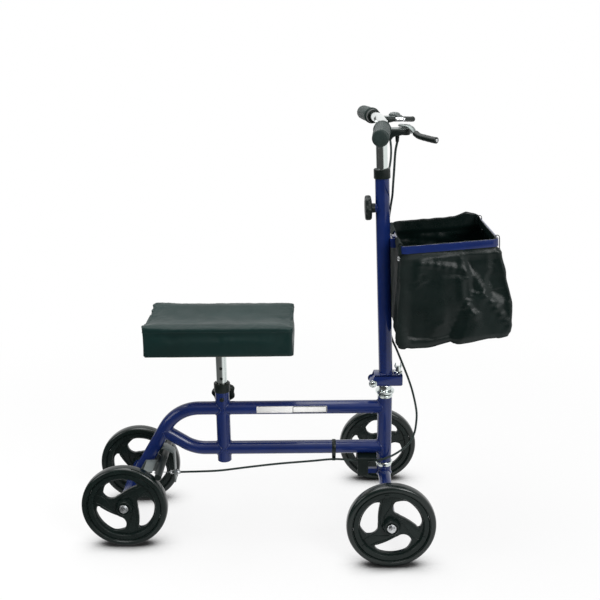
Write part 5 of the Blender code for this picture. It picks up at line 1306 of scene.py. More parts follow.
class WALKER_OT_handlebar(bpy.types.Operator):
    """Chrome handlebar on its riser, with the riser's holes"""
    bl_idname = "walker.handlebar"
    bl_label = "Handlebar"

    def execute(self, context):
        size = sizes("frame")
        bend = 0.022
        line = []
        for side in (RIGHT, LEFT):
            turn = bar_side(side)
            corner = turn.translation
            outer = turn @ Vector((0.0, side * bend, 0.0))
            inner = corner + Vector((0.0, -side * bend, 0.0))
            end = turn @ Vector((0.0, side * BAR_LENGTH, 0.0))
            knee = [(1 - t) ** 2 * outer + 2 * t * (1 - t) * corner + t * t * inner
                    for t in [i / 10 for i in range(11)]]
            half = [end] + knee
            line = half if side == RIGHT else line + list(reversed(half))
        bm = bmesh.new()
        tube(bm, line, BAR_RADIUS, 48)
        low = COLUMN @ Vector((0.0, 0.0, 0.3053))
        rod(bm, low, BAR_CENTRE, size.post_radius, 64)
        weld(bm, aimed(BAR_CENTRE, -COLUMN_UP), size.post_radius, BAR_RADIUS, (0.0, 1.0, 0.0), 0.0018)
        bar = add_piece(bm, "handlebar_finish", "handlebar", "chrome", ("handlebar",))
        cutters = bmesh.new()
        knob_at = (COLUMN.inverted() @ STEM_KNOB).z
        for index in range(-2, 4):
            z = knob_at + index * size.hole_pitch
            rod(cutters, COLUMN @ Vector((-0.03, 0.0, z)), COLUMN @ Vector((-0.004, 0.0, z)), size.hole_radius, 28)
        drilled(bar, cutters)
        return {"FINISHED"}


def dress_grip(name, side):
    """A soft ribbed grip with a flange at its inner end, and its domed cap."""
    place = bar_side(side) @ Matrix.Rotation(-side * math.pi / 2, 4, "X")
    start, end = 0.0885, BAR_LENGTH
    profile = [(0.0114, start), (0.0174, start), (0.0183, start + 0.0010), (0.0183, start + 0.0036),
               (0.0176, start + 0.0048), (0.0166, start + 0.0056)]
    ribs = 22
    first = start + 0.008
    pitch = (end - 0.006 - first) / ribs
    for index in range(ribs):
        z = first + index * pitch
        swell = 0.0004 * math.sin(math.pi * index / (ribs - 1))
        profile += [(0.0161 + swell, z), (0.0165 + swell, z + 0.22 * pitch), (0.0165 + swell, z + 0.72 * pitch),
                    (0.0161 + swell, z + 0.92 * pitch)]
    profile += [(0.0165, end - 0.005), (0.0165, end - 0.0006), (0.0160, end), (0.0114, end)]
    bm = bmesh.new()
    spin_profile(bm, profile, place, 56)
    add_piece(bm, "soft_grip_" + name, "handlebar", "black_rubber", ("grip_" + name,), 50.0)
    bm = bmesh.new()
    dome = end + 0.0003
    spin_profile(bm, [(0.0, end - 0.012), (0.0090, end - 0.012), (0.0090, dome), (0.0164, dome),
                      (0.0164, dome + 0.0006), (0.0152, dome + 0.0018), (0.0120, dome + 0.0026),
                      (0.0060, dome + 0.0029), (0.0, dome + 0.0030)], place, 48, closed=False)
    add_piece(bm, "domed_cap_" + name, "handlebar", "black_rubber", ("grip_cap_" + name,), 50.0)


class WALKER_OT_grips(bpy.types.Operator):
    """Soft grips and their domed end caps"""
    bl_idname = "walker.grips"
    bl_label = "Grips"

    def execute(self, context):
        for name, side in SIDES:
            dress_grip(name, side)
        return {"FINISHED"}


# Brake lever, seen from its hinge: distance out along the lever, sideways, and height
HINGE = (0.047, 0.0675)
LEVER_DEG = 37.2
BLADE_LINE = ((-0.024, 0.004, 0.0), (-0.012, 0.001, 0.0012), (0.0, 0.0, 0.0014), (0.014, 0.0, 0.0006),
              (0.024, -0.001, -0.0035), (0.034, -0.001, -0.010), (0.058, 0.000, -0.015))
SLEEVE_LINE = ((0.033, -0.001, -0.0095), (0.044, -0.001, -0.0135), (0.058, 0.000, -0.015),
               (0.080, 0.003, -0.0168), (0.088, 0.0045, -0.0172), (0.0930, 0.0057, -0.0172))


def lever_places(route, side, place):
    angle = math.radians(LEVER_DEG)
    spots = []
    for out, across, up in route:
        x = out * math.sin(angle) + across * math.cos(angle)
        y = out * math.cos(angle) - across * math.sin(angle)
        spots.append(place @ Vector((x, side * y, up)))
    return spots


def flat_frames(points, up):
    """Frames along a path that keep their Y towards up, for bars of flat section."""
    frames = []
    for index, point in enumerate(points):
        before, after = points[max(0, index - 1)], points[min(len(points) - 1, index + 1)]
        z = (after - before).normalized()
        x = up.cross(z).normalized()
        y = z.cross(x)
        matrix = Matrix((x, y, z)).transposed().to_4x4()
        matrix.translation = point
        frames.append(matrix)
    return frames


HOUSING_SIDE = ((0.009, -0.0012), (0.0468, -0.0012), (0.0470, -0.0110), (0.036, -0.0135), (0.027, -0.0145),
                (0.0215, -0.0175), (0.0180, -0.0230), (0.009, -0.0230))


def dress_lever(name, side):
    """Clamp and housing, arched blade, ribbed sleeve and knurled adjuster on one side of the bar."""
    place = bar_side(side)
    up = place.to_3x3() @ Vector((0.0, 0.0, 1.0))
    bm = bmesh.new()
    clamp = place @ Matrix.Rotation(-side * math.pi / 2, 4, "X")
    spin_profile(bm, [(0.0114, 0.061), (0.0148, 0.061), (0.0155, 0.0618), (0.0155, 0.0782), (0.0148, 0.079),
                      (0.0114, 0.079)], clamp, 48)
    housing = bmesh.new()
    middle = place @ Matrix.Translation((0.0, side * 0.0615, 0.0)) @ STANDING
    slab(housing, HOUSING_SIDE, 0.032, middle)
    round_edges(housing, 0.0030, 3, 50.0)
    nose = place @ Matrix.Translation((HINGE[0] - 0.0005, side * HINGE[1], 0.0))
    spin_profile(housing, [(0.0, -0.0128), (0.0080, -0.0128), (0.0094, -0.0114), (0.0094, -0.0024),
                           (0.0084, -0.0012), (0.0, -0.0012)], nose, 40, closed=False)
    fill = bpy.data.meshes.new("housing")
    housing.to_mesh(fill)
    housing.free()
    bm.from_mesh(fill)
    bpy.data.meshes.remove(fill)
    spin_profile(bm, [(0.0, -0.004), (0.0025, -0.004), (0.0025, 0.0068), (0.0040, 0.0070), (0.0042, 0.0078),
                      (0.0030, 0.0084), (0.0, 0.0085)], nose, 24, closed=False)
    socket = place @ Matrix.Translation((0.030, side * 0.060, 0.0))
    spin_profile(bm, [(0.0, -0.0285), (0.0026, -0.0285), (0.0034, -0.0280), (0.0048, -0.0120), (0.0, -0.0120)],
                 socket, 24, closed=False)
    add_piece(bm, "lever_housing_" + name, "handlebar", "black_plastic", ("lever_bracket_" + name,))
    hinge = place @ Matrix.Translation((HINGE[0], side * HINGE[1], 0.0035))
    blade = smooth_path(lever_places(BLADE_LINE, side, hinge), 6)
    last = len(blade) - 1
    widths = []
    for index in range(len(blade)):
        t = index / last
        widths.append((1.65 - 0.75 * max(0.0, t - 0.45) - 0.35 * math.exp(-14 * t), 0.78))
    bm = bmesh.new()
    sweep(bm, flat_frames(blade, up), 0.0040, 28, widths)
    spin_profile(bm, [(0.0, -0.0040), (0.0085, -0.0040), (0.0092, -0.0030), (0.0092, 0.0030), (0.0085, 0.0040),
                      (0.0, 0.0040)], hinge, 40, closed=False)
    add_piece(bm, "lever_blade_" + name, "lever_" + name, "lever_alloy", ("brake_lever_" + name,), 60.0)
    sleeve = smooth_path(lever_places(SLEEVE_LINE, side, hinge), 8)
    shares = []
    for index in range(len(sleeve)):
        t = index / (len(sleeve) - 1)
        ridge = 0.05 * (0.5 + 0.5 * math.cos(2 * math.pi * 5.0 * index / len(sleeve) * 2)) if t > 0.35 else 0.0
        tip = math.sqrt(max(0.0, 1 - max(0.0, (t - 0.93) / 0.075) ** 2))
        shares.append(((0.98 + ridge) * max(tip, 0.55), (0.86 + ridge) * max(tip, 0.55)))
    bm = bmesh.new()
    sweep(bm, flat_frames(sleeve, up), 0.0070, 32, shares)
    add_piece(bm, "lever_sleeve_finish_" + name, "lever_" + name, "black_plastic", ("lever_sleeve_" + name,), 60.0)
    tip = sleeve[-1]
    way = (sleeve[-1] - sleeve[-3]).normalized()
    bm = bmesh.new()
    spin_profile(bm, [(0.0, -0.001), (0.0030, -0.001), (0.0032, 0.0), (0.0024, 0.0005), (0.0, 0.0006)],
                 aimed(tip, way), 24, closed=False)
    add_piece(bm, "lever_tip_" + name, "lever_" + name, "bright_steel", ())
    bm = bmesh.new()
    cap = [(0.0130, 0.0465), (0.0462, 0.0465), (0.0462, 0.0765), (0.0130, 0.0765)]
    slab(bm, [(x, side * y) for x, y in cap], 0.0014, place @ Matrix.Translation((0.0, 0.0, -0.0008)))
    round_edges(bm, 0.0006, 2, 50.0)
    add_piece(bm, "lever_cap_" + name, "handlebar", "lever_alloy", ())
    knurl = place @ Matrix.Translation((0.0, side * 0.051, -0.0075)) @ Matrix.Rotation(math.pi / 2, 4, "Y")
    profile = [(0.0, 0.039), (0.0029, 0.039), (0.0029, 0.0474), (0.0052, 0.0474)]
    for index in range(6):
        z = 0.0482 + index * 0.0026
        profile += [(0.0055, z), (0.0055, z + 0.0014), (0.0050, z + 0.0018), (0.0050, z + 0.0022)]
    profile += [(0.0052, 0.0645), (0.0040, 0.0660), (0.0030, 0.0664), (0.0030, 0.0690), (0.0, 0.0692)]
    bm = bmesh.new()
    spin_profile(bm, profile, knurl, 36, closed=False)
    add_piece(bm, "barrel_adjuster_" + name, "handlebar", "bright_steel", ("lever_adjuster_" + name,), 30.0)


class WALKER_OT_levers(bpy.types.Operator):
    """Brake levers with their housings, sleeves and adjusters"""
    bl_idname = "walker.levers"
    bl_label = "Brake levers"

    def execute(self, context):
        for name, side in SIDES:
            dress_lever(name, side)
        return {"FINISHED"}


# Rear brake


class WALKER_OT_rear_brake(bpy.types.Operator):
    """Rear brake: rocking crossbar, pivot pin, cable adjuster and the bare inner wire"""
    bl_idname = "walker.rear_brake"
    bl_label = "Rear brake"

    def execute(self, context):
        rock = pivot("brake_rock")
        bar = rock + Vector((0.011, 0.0, 0.025))
        foot = rock + Vector((-0.005, 0.0, -0.021))
        bm = bmesh.new()
        half = 0.118
        profile = [(0.0, -half), (0.0068, -half), (0.0080, -half + 0.0012)]
        profile += [(0.0080, half - 0.0012), (0.0068, half), (0.0, half)]
        spin_profile(bm, profile, aimed(bar, (0.0, 1.0, 0.0)), 48, closed=False)
        for end in (bar, foot):
            slope = math.degrees(math.atan2(end.z - rock.z, end.x - rock.x))
            local = (end.x - rock.x, end.z - rock.z)
            outline = arc(local, 0.0075, slope - 90, slope + 90, 14) + arc((0, 0), 0.0075, slope + 90, slope + 270, 14)
            slab(bm, outline, 0.0118 if end is bar else 0.0112, Matrix.Translation(rock) @ STANDING)
        round_edges(bm, 0.0008, 2, 60.0)
        add_piece(bm, "brake_rocker", "brake", "black_plastic", ("brake_bar",))
        softened("brake_pin", "frame", "bright_steel", 0.0004)
        low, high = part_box("cable_adjuster")
        along = aimed(Vector((low.x, 0.0, (low.z + high.z) / 2)), (1.0, 0.0, 0.0))
        span = high.x - low.x
        profile = [(0.0, 0.0), (0.0040, 0.0), (0.0047, 0.0008)]
        turns = 10
        for index in range(turns):
            z = 0.0012 + (span - 0.0026) * index / turns
            profile += [(0.0047, z), (0.0042, z + 0.45 * span / turns)]
        profile += [(0.0047, span - 0.0010), (0.0038, span), (0.0, span)]
        bm = bmesh.new()
        spin_profile(bm, profile, along, 32, closed=False)
        nut = aimed(Vector(((low.x + high.x) / 2 + 0.0015 + 0.0003 + 0.002, 0.0, along.translation.z)), (1, 0, 0))
        bmesh.ops.create_cone(bm, cap_ends=True, segments=6, radius1=0.0075, radius2=0.0075, depth=0.004, matrix=nut)
        add_piece(bm, "adjuster_finish", "frame", "bright_steel", ("cable_adjuster",), 30.0)
        bm = bmesh.new()
        wire_z = along.translation.z
        rod(bm, (foot.x - 0.009, 0.0, wire_z), (low.x - 0.0002, 0.0, wire_z), 0.0008, 12)
        rod(bm, (foot.x - 0.009, -0.0045, foot.z), (foot.x - 0.009, 0.0045, foot.z), 0.0030, 20)
        add_piece(bm, "brake_wire", "brake", "bright_steel", ())
        return {"FINISHED"}


# Cables, whose points repeat the route of the solids: from the steering axis, and the last from the axle
ROUTE_RIGHT = ((0.0045, -0.111, 0.905), (0.005, -0.086, 0.865), (0.0070, -0.046, 0.825),
               (0.0098, -0.005, 0.797), (0.0085, 0.0140, 0.772), (0.006, 0.0200, 0.748),
               (0.002, 0.0225, 0.715), (-0.002, 0.0225, 0.680))
ROUTE_LEFT = ((0.0145, 0.113, 0.897), (0.0135, 0.090, 0.863), (0.004, 0.062, 0.820),
              (-0.004, 0.038, 0.765), (-0.009, 0.026, 0.715), (-0.011, 0.0225, 0.680))
ROUTE_FRONT = ((-0.006, 0.0225, 0.585), (-0.001, 0.024, 0.545), (0.005, 0.0255, 0.508),
               (0.010, 0.025, 0.478), (0.018, 0.021, 0.450), (0.027, 0.015, 0.430), (0.041, 0.008, 0.396),
               (0.055, 0.005, 0.360), (0.066, 0.002, 0.325), (0.075, 0.000, 0.281), (0.075, -0.001, 0.250),
               (0.070, -0.003, 0.222), (0.056, -0.008, 0.198), (0.032, -0.016, 0.182),
               (0.008, -0.0225, 0.172), (-0.017, -0.0225, 0.165), (-0.045, -0.019, 0.162),
               (-0.075, -0.013, 0.161), (-0.120, -0.007, 0.161))
ROUTE_REAR = ((0.430, -0.008, 0.157), (0.355, -0.012, 0.153), (0.290, -0.0165, 0.148),
              (0.247, -0.0195, 0.144), (0.223, -0.0205, 0.1415), (0.198, -0.0195, 0.139),
              (0.160, -0.010, 0.133), (0.138, -0.002, 0.1285))
STEM_END, TOP_END, BOTTOM_END = 4, 10, 15
CABLE_STEPS = 8


def shifted(route, x):
    return [Vector((x + place[0], place[1], place[2])) for place in route]


def add_cable(name, points, node, body=None):
    bm = bmesh.new()
    tube(bm, points, sizes("trim").cable_radius, 18)
    round_edges(bm, 0.0003, 1, 60.0)
    return add_piece(bm, name, body, "black_rubber", (node,), 60.0)


class WALKER_OT_cables(bpy.types.Operator):
    """Brake cable in its lengths from both levers to the rear brake, and the joiner box"""
    bl_idname = "walker.cables"
    bl_label = "Brake cable"

    def execute(self, context):
        low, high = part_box("cable_joiner")
        joiner = (low + high) / 2
        offset = 0.004
        for name, side, route in (("right", RIGHT, ROUTE_RIGHT), ("left", LEFT, ROUTE_LEFT)):
            start = bar_side(side) @ Vector((0.030, side * 0.060, -0.0285))
            end = Vector((joiner.x - side * offset, joiner.y, high.z + 0.0003))
            points = smooth_path([start, *shifted(route, STEER_X), end], CABLE_STEPS)
            cable = add_cable("lever_cable_" + name, points, "cable_" + name)
            unparent(cable)
            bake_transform(cable)
        down = [Vector((joiner.x, joiner.y, low.z - 0.0003)), *shifted(ROUTE_FRONT, STEER_X),
                *shifted(ROUTE_REAR, AXLE.x)]
        exit_low, exit_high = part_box("cable_adjuster")
        down.append(Vector((exit_high.x + 0.0003, 0.0, (exit_low.z + exit_high.z) / 2)))
        points = smooth_path(down, CABLE_STEPS)
        first, second, third = [number * CABLE_STEPS + CABLE_STEPS // 4 for number in (STEM_END, TOP_END, BOTTOM_END)]
        add_cable("column_cable", points[:first + 1], "cable_stem", "stem")
        top = add_cable("loop_cable_top", points[first:second + 1], "cable_loop_top")
        unparent(top)
        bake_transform(top)
        bottom = add_cable("loop_cable_bottom", points[second:third + 1], "cable_loop_bottom")
        unparent(bottom)
        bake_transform(bottom)
        add_cable("frame_cable", points[third:], "cable_rear", "frame")
        bm = bmesh.new()
        block(bm, low, high)
        round_edges(bm, 0.0022, 3)
        for x in (joiner.x - offset, joiner.x + offset):
            rod(bm, (x, joiner.y, high.z - 0.001), (x, joiner.y, high.z + 0.004), 0.0034, 20, 0.0030)
        rod(bm, (joiner.x, joiner.y, low.z + 0.001), (joiner.x, joiner.y, low.z - 0.004), 0.0034, 20, 0.0030)
        add_piece(bm, "joiner_box", "stem", "black_plastic", ("cable_joiner",))
        return {"FINISHED"}


def unparent(piece):
    """Frees a piece from its body."""
    piece.parent = None
    if "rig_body" in piece:
        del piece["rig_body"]


# Basket: flat-bar frame, cloth bag, loops and clips


BAG_DEPTH = 0.220
BAG_REACH = 0.245
RAIL = 0.003
RAIL_HEIGHT = 0.016
BASKET_LENGTH = 0.209
BASKET_HALF = 0.120


def bag_section(depth):
    """Rear x, front x and half width of the bag at a depth below the rail's top."""
    rear, front, half = RAIL + 0.0003, BASKET_LENGTH - RAIL - 0.0003, BASKET_HALF - RAIL - 0.0003
    stations = ((-0.030, rear, front - 0.001, half - 0.001), (0.0, rear, front, half),
                (0.018, rear, front, half), (0.030, rear, front + 0.009, half + 0.005),
                (0.36 * BAG_DEPTH, 0.0005, front + 0.018, half + 0.009),
                (0.66 * BAG_DEPTH, -0.007, front + 0.029, half + 0.014),
                (0.94 * BAG_DEPTH, -0.011, 0.2296, half + 0.015), (BAG_DEPTH, -0.007, 0.2240, half + 0.011))
    for (d0, *low), (d1, *high) in zip(stations, stations[1:]):
        if depth <= d1:
            t = max(0.0, min(1.0, (depth - d0) / (d1 - d0)))
            t = t * t * (3 - 2 * t)
            return [a + (b - a) * t for a, b in zip(low, high)]
    return list(stations[-1][1:])


def section_ring(depth, around):
    """Points of a rounded rectangle with the bag's plan at a depth, evenly spaced."""
    rear, front, half = bag_section(depth)
    outline = []
    for quarter, (sx, sy) in enumerate(((1, 1), (-1, 1), (-1, -1), (1, -1))):
        corner = 0.009 if sx > 0 else 0.016
        middle = ((front if sx > 0 else rear) - sx * corner, sy * (half - corner))
        outline += arc(middle, corner, 90 * quarter, 90 * quarter + 90, 6)
    return spaced(outline, around)


# Facets per metre in the bag's cloth, and how far they tilt
FACETS = ((10.0, 0.19), (23.0, 0.28))
# Two long folds: place along the side, and height
FOLDS = tuple(smooth_path(line, 6) for line in (
    ((0.045, -0.038, 0.0), (0.135, -0.063, 0.0), (0.172, -0.110, 0.0), (0.228, -0.194, 0.0)),
    ((0.125, -0.080, 0.0), (0.128, -0.125, 0.0), (0.152, -0.160, 0.0))))


def crumple(spot):
    """How far stiff cloth stands out, in tilted facets that meet in folds, in metres."""
    bent = spot + noise.noise_vector(spot * 8.0) * 0.012
    total = 0.0
    for scale, tilt in FACETS:
        place = Vector((bent.x, bent.y, bent.z * 0.6)) * scale
        apart, centres = noise.voronoi(place)
        first, second = [noise.noise_vector(centre * 3.7).dot(place - centre) for centre in centres[:2]]
        share = 0.5 + 0.5 * min(1.0, (apart[1] - apart[0]) / 0.22)
        total += tilt * (first * share + second * (1 - share)) / scale
    calm = math.exp(-((spot.x - 0.06) / 0.05) ** 2 - ((spot.z + 0.14) / 0.06) ** 2)
    flat = Vector((spot.x, spot.z, 0.0))
    ridge = sum(max(0.0, 1 - min((flat - place).length for place in line) / 0.012) for line in FOLDS)
    return total * (1 - 0.6 * calm) + 0.0034 * ridge - 0.0006


def slump(spot):
    """How the bag's load moves its lower part: the near rear corners back, and the floor down."""
    low = max(0.0, min(1.0, (-spot.z - 0.17) / 0.045))
    back = max(0.0, 1 - max(0.0, spot.x) / 0.06) * (spot.y / BASKET_HALF) ** 2 * min(1.0, -spot.z / 0.05)
    drop = 0.0085 * math.exp(-((spot.x - 0.045) / 0.045) ** 2) - 0.0035 * max(0.0, (spot.x - 0.12) / 0.1)
    return Vector((-0.012 * back, 0.0, -drop * low))


class WALKER_OT_bag(bpy.types.Operator):
    """Cloth bag that hangs in the basket frame, with its rim raised"""
    bl_idname = "walker.bag"
    bl_label = "Cloth bag"

    def execute(self, context):
        around, steps = 224, 80
        bm = bmesh.new()
        ring = bmesh.ops.create_circle(bm, segments=around, radius=0.1, cap_ends=False)["verts"]
        edges = list({edge for vert in ring for edge in vert.link_edges})
        verts = ring
        order = {vert: index for index, vert in enumerate(ring)}
        for step in range(steps + 1):
            depth = -0.0005 + (BAG_DEPTH + 0.0005) * step / steps
            if step:
                made = bmesh.ops.extrude_edge_only(bm, edges=edges)
                verts = new_verts(made)
                order.update({vert: next(order[edge.other_vert(vert)] for edge in vert.link_edges
                                         if edge.other_vert(vert) in order) for vert in verts})
                edges = [e for e in made["geom"] if isinstance(e, bmesh.types.BMEdge) and e.is_boundary]
            places = section_ring(depth, around)
            for vert in verts:
                x, y = places[order[vert]]
                vert.co = (x, y, -depth)
        floor = 10
        for step in range(floor):
            made = bmesh.ops.extrude_edge_only(bm, edges=edges)
            fresh = new_verts(made)
            share = 1 - (step + 1) / (floor + 1)
            middle = sum((vert.co for vert in fresh), Vector()) / len(fresh)
            previous = 1 - step / (floor + 1)
            for vert in fresh:
                flat = (vert.co - middle) * (share / previous)
                vert.co = Vector((middle.x + flat.x, middle.y + flat.y, vert.co.z - 0.0010 * share))
            edges = [e for e in made["geom"] if isinstance(e, bmesh.types.BMEdge) and e.is_boundary]
        bmesh.ops.edgeloop_fill(bm, edges=edges)
        bmesh.ops.recalc_face_normals(bm, faces=bm.faces)
        bm.normal_update()
        moves = []
        for vert in bm.verts:
            depth = -vert.co.z
            held = max(0.0, min(1.0, (depth - 0.018) / 0.025))
            if vert.co.x < 0.02 and depth < 0.12:
                beside = max(0.0, min(1.0, (abs(vert.co.y) - 0.030) / 0.02))
                held *= max(beside, min(1.0, max(0.0, (depth - 0.085) / 0.03)))
            held *= 1 - 0.5 * max(0.0, vert.normal.x)
            spot = vert.co + vert.normal * crumple(vert.co) * held + slump(vert.co)
            spot.z += rim_rise(vert.co) * max(0.0, 1 - (depth + 0.0005) / 0.015)
            moves.append((vert, spot))
        for vert, spot in moves:
            vert.co = spot
        bm.transform(BASKET)
        bag = add_piece(bm, "cloth_bag", "basket", "black_cloth", ("basket_bag",), 80.0, merge=False)
        wall = bag.modifiers.new("cloth", "SOLIDIFY")
        wall.thickness = sizes("trim").cloth
        wall.offset = -1.0
        bake_modifiers(bag)
        width, depth = 0.46, 0.62
        return {"FINISHED"}


def rim_rise(spot):
    """How far the rim stands above the rail: a flap near the far front corner, and a soft wave elsewhere."""
    flap = max(0.0, 1 - abs(spot.x - 0.178) / 0.030) if spot.y > 0.10 else 0.0
    back = 0.5 + 0.5 * math.tanh((spot.y - 0.09) / 0.02)
    return 0.009 * flap + 0.0055 * back + 0.0012 * noise.noise(spot * 60.0)


class WALKER_OT_basket_frame(bpy.types.Operator):
    """Basket's flat-bar frame, its hook and bracket, the bag's corner loops and clips"""
    bl_idname = "walker.basket_frame"
    bl_label = "Basket frame"

    def execute(self, context):
        softened("basket_frame", "basket", "blue_paint", 0.0006)
        softened("basket_bracket", "stem", "blue_paint", 0.0008)
        bm = bmesh.new()
        loops = bmesh.new()
        for side in (-1.0, 1.0):
            frames, sizes_here = [], []
            for index in range(25):
                y = side * (0.030 + 0.084 * index / 24)
                spot = BASKET @ Vector((0.0020, y, -0.0085))
                frames.append(turned_to(spot, (0.0, 1.0, 0.0)))
                wave = noise.noise(Vector((y * 90, side, 0.5)))
                sizes_here.append((0.95 + 0.15 * wave, 2.0 + 0.35 * wave))
            sweep(loops, frames, 0.0058, 20, sizes_here)
        for x, y in ((0.0, -0.104), (BASKET_LENGTH, -0.104), (0.0, 0.104), (BASKET_LENGTH, 0.104)):
            side = 1.0 if x else -1.0
            edge = x + side * 0.0022
            strap = [Vector((x - side * 0.009, y, -0.004)), Vector((x - side * 0.005, y, 0.0045)),
                     Vector((edge, y, 0.003)), Vector((edge + side * 0.0006, y, -0.012)),
                     Vector((edge - side * 0.0002, y, -0.026))]
            line = [BASKET @ spot for spot in smooth_path(strap, 5)]
            forward = Vector((0.0, 1.0, 0.0))
            frames = []
            for matrix in frames_along(line):
                z = matrix.to_3x3() @ Vector((0, 0, 1))
                frames.append(turned_to(matrix.translation, z, forward))
            sweep(loops, frames, 0.0010, 12, [(3.6, 0.8)] * len(frames))
            clip = BASKET @ Matrix.Translation((edge + side * 0.0010, y, -0.0290))
            ring = [clip @ Vector((0.0016 * side * math.cos(a), 0.0042 * math.cos(a), 0.0040 * math.sin(a)))
                    for a in [2 * math.pi * i / 24 for i in range(25)]]
            sweep(bm, frames_along(ring)[:-1], 0.0011, 10, closed=True)
        add_piece(loops, "bag_loops", "basket", "black_cloth", ())
        add_piece(bm, "bag_clips", "basket", "bright_steel", ())
        return {"FINISHED"}


# Label and cable tie


class WALKER_OT_label_and_ties(bpy.types.Operator):
    """Blank label on the upper tube, and the tie that holds the cable"""
    bl_idname = "walker.label_and_ties"
    bl_label = "Label and ties"

    def execute(self, context):
        size = sizes("frame")
        trim = sizes("trim")
        middle = STEER_X - 0.2185
        wide, high, line = trim.label_length, trim.label_height, 0.0014
        radius = size.tube_radius + 0.00025
        face = [(middle - wide / 2, middle + wide / 2, -high / 2, high / 2)]
        left, right, low, top = middle + 0.002, middle + wide / 2 - 0.0006, 0.0006 - high / 2, high / 2 - 0.0006
        lines = [(left, right, low, low + line), (left, right, top - line, top),
                 (left, left + line, low, top), (right - line, right, low, top)]
        for name, finish, patches, lift in (("blank_label", "label_face", face, 0.0),
                                            ("label_frame", "black_plastic", lines, 0.0002)):
            bm = bmesh.new()
            for start, end, under, over in patches:
                verts = [bm.verts.new((x, -radius - lift, 0.0)) for x in (start, end)]
                edge = bm.edges.new(verts)
                bmesh.ops.transform(bm, matrix=Matrix.Rotation(-under / radius, 4, "X"), verts=verts)
                bmesh.ops.spin(bm, geom=verts + [edge], cent=(0, 0, 0), axis=(-1, 0, 0),
                               angle=(over - under) / radius, steps=12)
            bmesh.ops.translate(bm, vec=(0, 0, size.upper_height), verts=bm.verts)
            label = add_piece(bm, name, "frame", finish, ())
            wall = label.modifiers.new("film", "SOLIDIFY")
            wall.thickness = 0.0002
            wall.offset = 0.0
            bake_modifiers(label)
        bm = bmesh.new()
        x = AXLE.x + 0.485
        loop = []
        for index in range(40):
            a = 2 * math.pi * index / 40
            reach = size.tube_radius + 0.0009
            z = math.sin(a)
            drop = 0.0145 * max(0.0, -z) ** 6
            loop.append(Vector((x, reach * math.cos(a) * (1 - 0.55 * max(0.0, -z) ** 6),
                                size.lower_height + reach * z - drop)))
        frames = [turned_to(m.translation, m.to_3x3() @ Vector((0, 0, 1)), (1, 0, 0))
                  for m in frames_along(loop + [loop[0]])[:-1]]
        sweep(bm, frames, 0.0010, 10, [(4.6, 1.0)] * len(frames), closed=True)
        block(bm, (x - 0.0035, -0.0055, size.lower_height - 0.0345), (x + 0.0035, -0.0010, size.lower_height - 0.0285))
        add_piece(bm, "cable_tie", "frame", "black_plastic", ())
        return {"FINISHED"}


# Studio


def combine(tree, operation, first, second):
    """A math node on two sockets or numbers."""
    node = tree.nodes.new("ShaderNodeMath")
    node.operation = operation
    for value, socket in zip((first, second), node.inputs):
        if isinstance(value, (int, float)):
            socket.default_value = value
        else:
            tree.links.new(value, socket)
    return node.outputs[0]


def eased(tree, factor, span, low, high):
    """Maps a factor smoothly between two values."""
    node = tree.nodes.new("ShaderNodeMapRange")
    node.interpolation_type = "SMOOTHSTEP"
    for name, value in (("From Min", span[0]), ("From Max", span[1]), ("To Min", low), ("To Max", high)):
        node.inputs[name].default_value = value
    tree.links.new(factor, node.inputs["Value"])
    return node.outputs["Result"]


def studio_rays(tree, way, span):
    """1 where camera, gloss or glass looks, and how much darker gloss finds the studio's front left."""
    path = tree.nodes.new("ShaderNodeLightPath").outputs
    gloss = path["Is Glossy Ray"]
    pale = combine(tree, "ADD", path["Is Camera Ray"], combine(tree, "ADD", gloss, path["Is Transmission Ray"]))
    aside = tree.nodes.new("ShaderNodeVectorMath")
    aside.operation = "DOT_PRODUCT"
    aside.inputs[1].default_value = (-0.70, -0.54, -0.46)
    tree.links.new(way, aside.inputs[0])
    dusk = combine(tree, "MULTIPLY", eased(tree, aside.outputs["Value"], span, 0.0, 0.93), gloss)
    return combine(tree, "MINIMUM", pale, 1.0), dusk


def matte_floor(tone):
    """A pale floor that shows white to the camera, keeps the walker's shadow and adds a painted contact shadow under
    it.
    """
    floor = Surface("studio_floor", tone.floor, 0.9)
    tree, links = floor.material.node_tree, floor.links
    glow = floor.nodes.new("ShaderNodeEmission")
    seen, dusk = studio_rays(tree, floor.place, (0.04, 0.54))
    links.new(combine(tree, "SUBTRACT", 1.0, dusk), glow.inputs["Strength"])
    apart = floor.nodes.new("ShaderNodeVectorMath")
    apart.operation = "LENGTH"
    links.new(floor.place, apart.inputs[0])
    # Painted contact shadow: ambient occlusion lessens the floor's glow where the walker closes it in
    near = floor.nodes.new("ShaderNodeAmbientOcclusion")
    near.samples = 12
    near.inputs["Distance"].default_value = 0.070
    clear = eased(tree, near.outputs["AO"], (0.52, 0.95), 0.0, 1.0)
    share = combine(tree, "MULTIPLY", eased(tree, apart.outputs["Value"], (0.5, 1.7), 0.80, 1.0), seen)
    mix = floor.nodes.new("ShaderNodeMixShader")
    links.new(combine(tree, "MAXIMUM", combine(tree, "MULTIPLY", share, clear), dusk), mix.inputs[0])
    links.new(floor.shader.outputs[0], mix.inputs[1])
    links.new(glow.outputs[0], mix.inputs[2])
    links.new(mix.outputs[0], floor.nodes["Material Output"].inputs["Surface"])
    # Painted shadow in the base colour, nearly black where the occlusion is deepest
    floor.tint(clear, 0.03, (1.0, 0.0))
    return floor.material


def light_world():
    """A pale world that gloss sees darker on the front left, and a soft fill for all other light."""
    world = bpy.data.worlds.new("studio")
    bpy.context.scene.world = world
    world.use_nodes = True
    tree = world.node_tree
    back = tree.nodes["Background"]
    back.inputs["Color"].default_value = (1.0, 1.0, 1.0, 1.0)
    seen, dusk = studio_rays(tree, tree.nodes.new("ShaderNodeTexCoord").outputs["Generated"], (-0.15, 0.55))
    level = combine(tree, "SUBTRACT", eased(tree, seen, (0.0, 1.0), 0.36, 1.0), dusk)
    tree.links.new(level, back.inputs["Strength"])


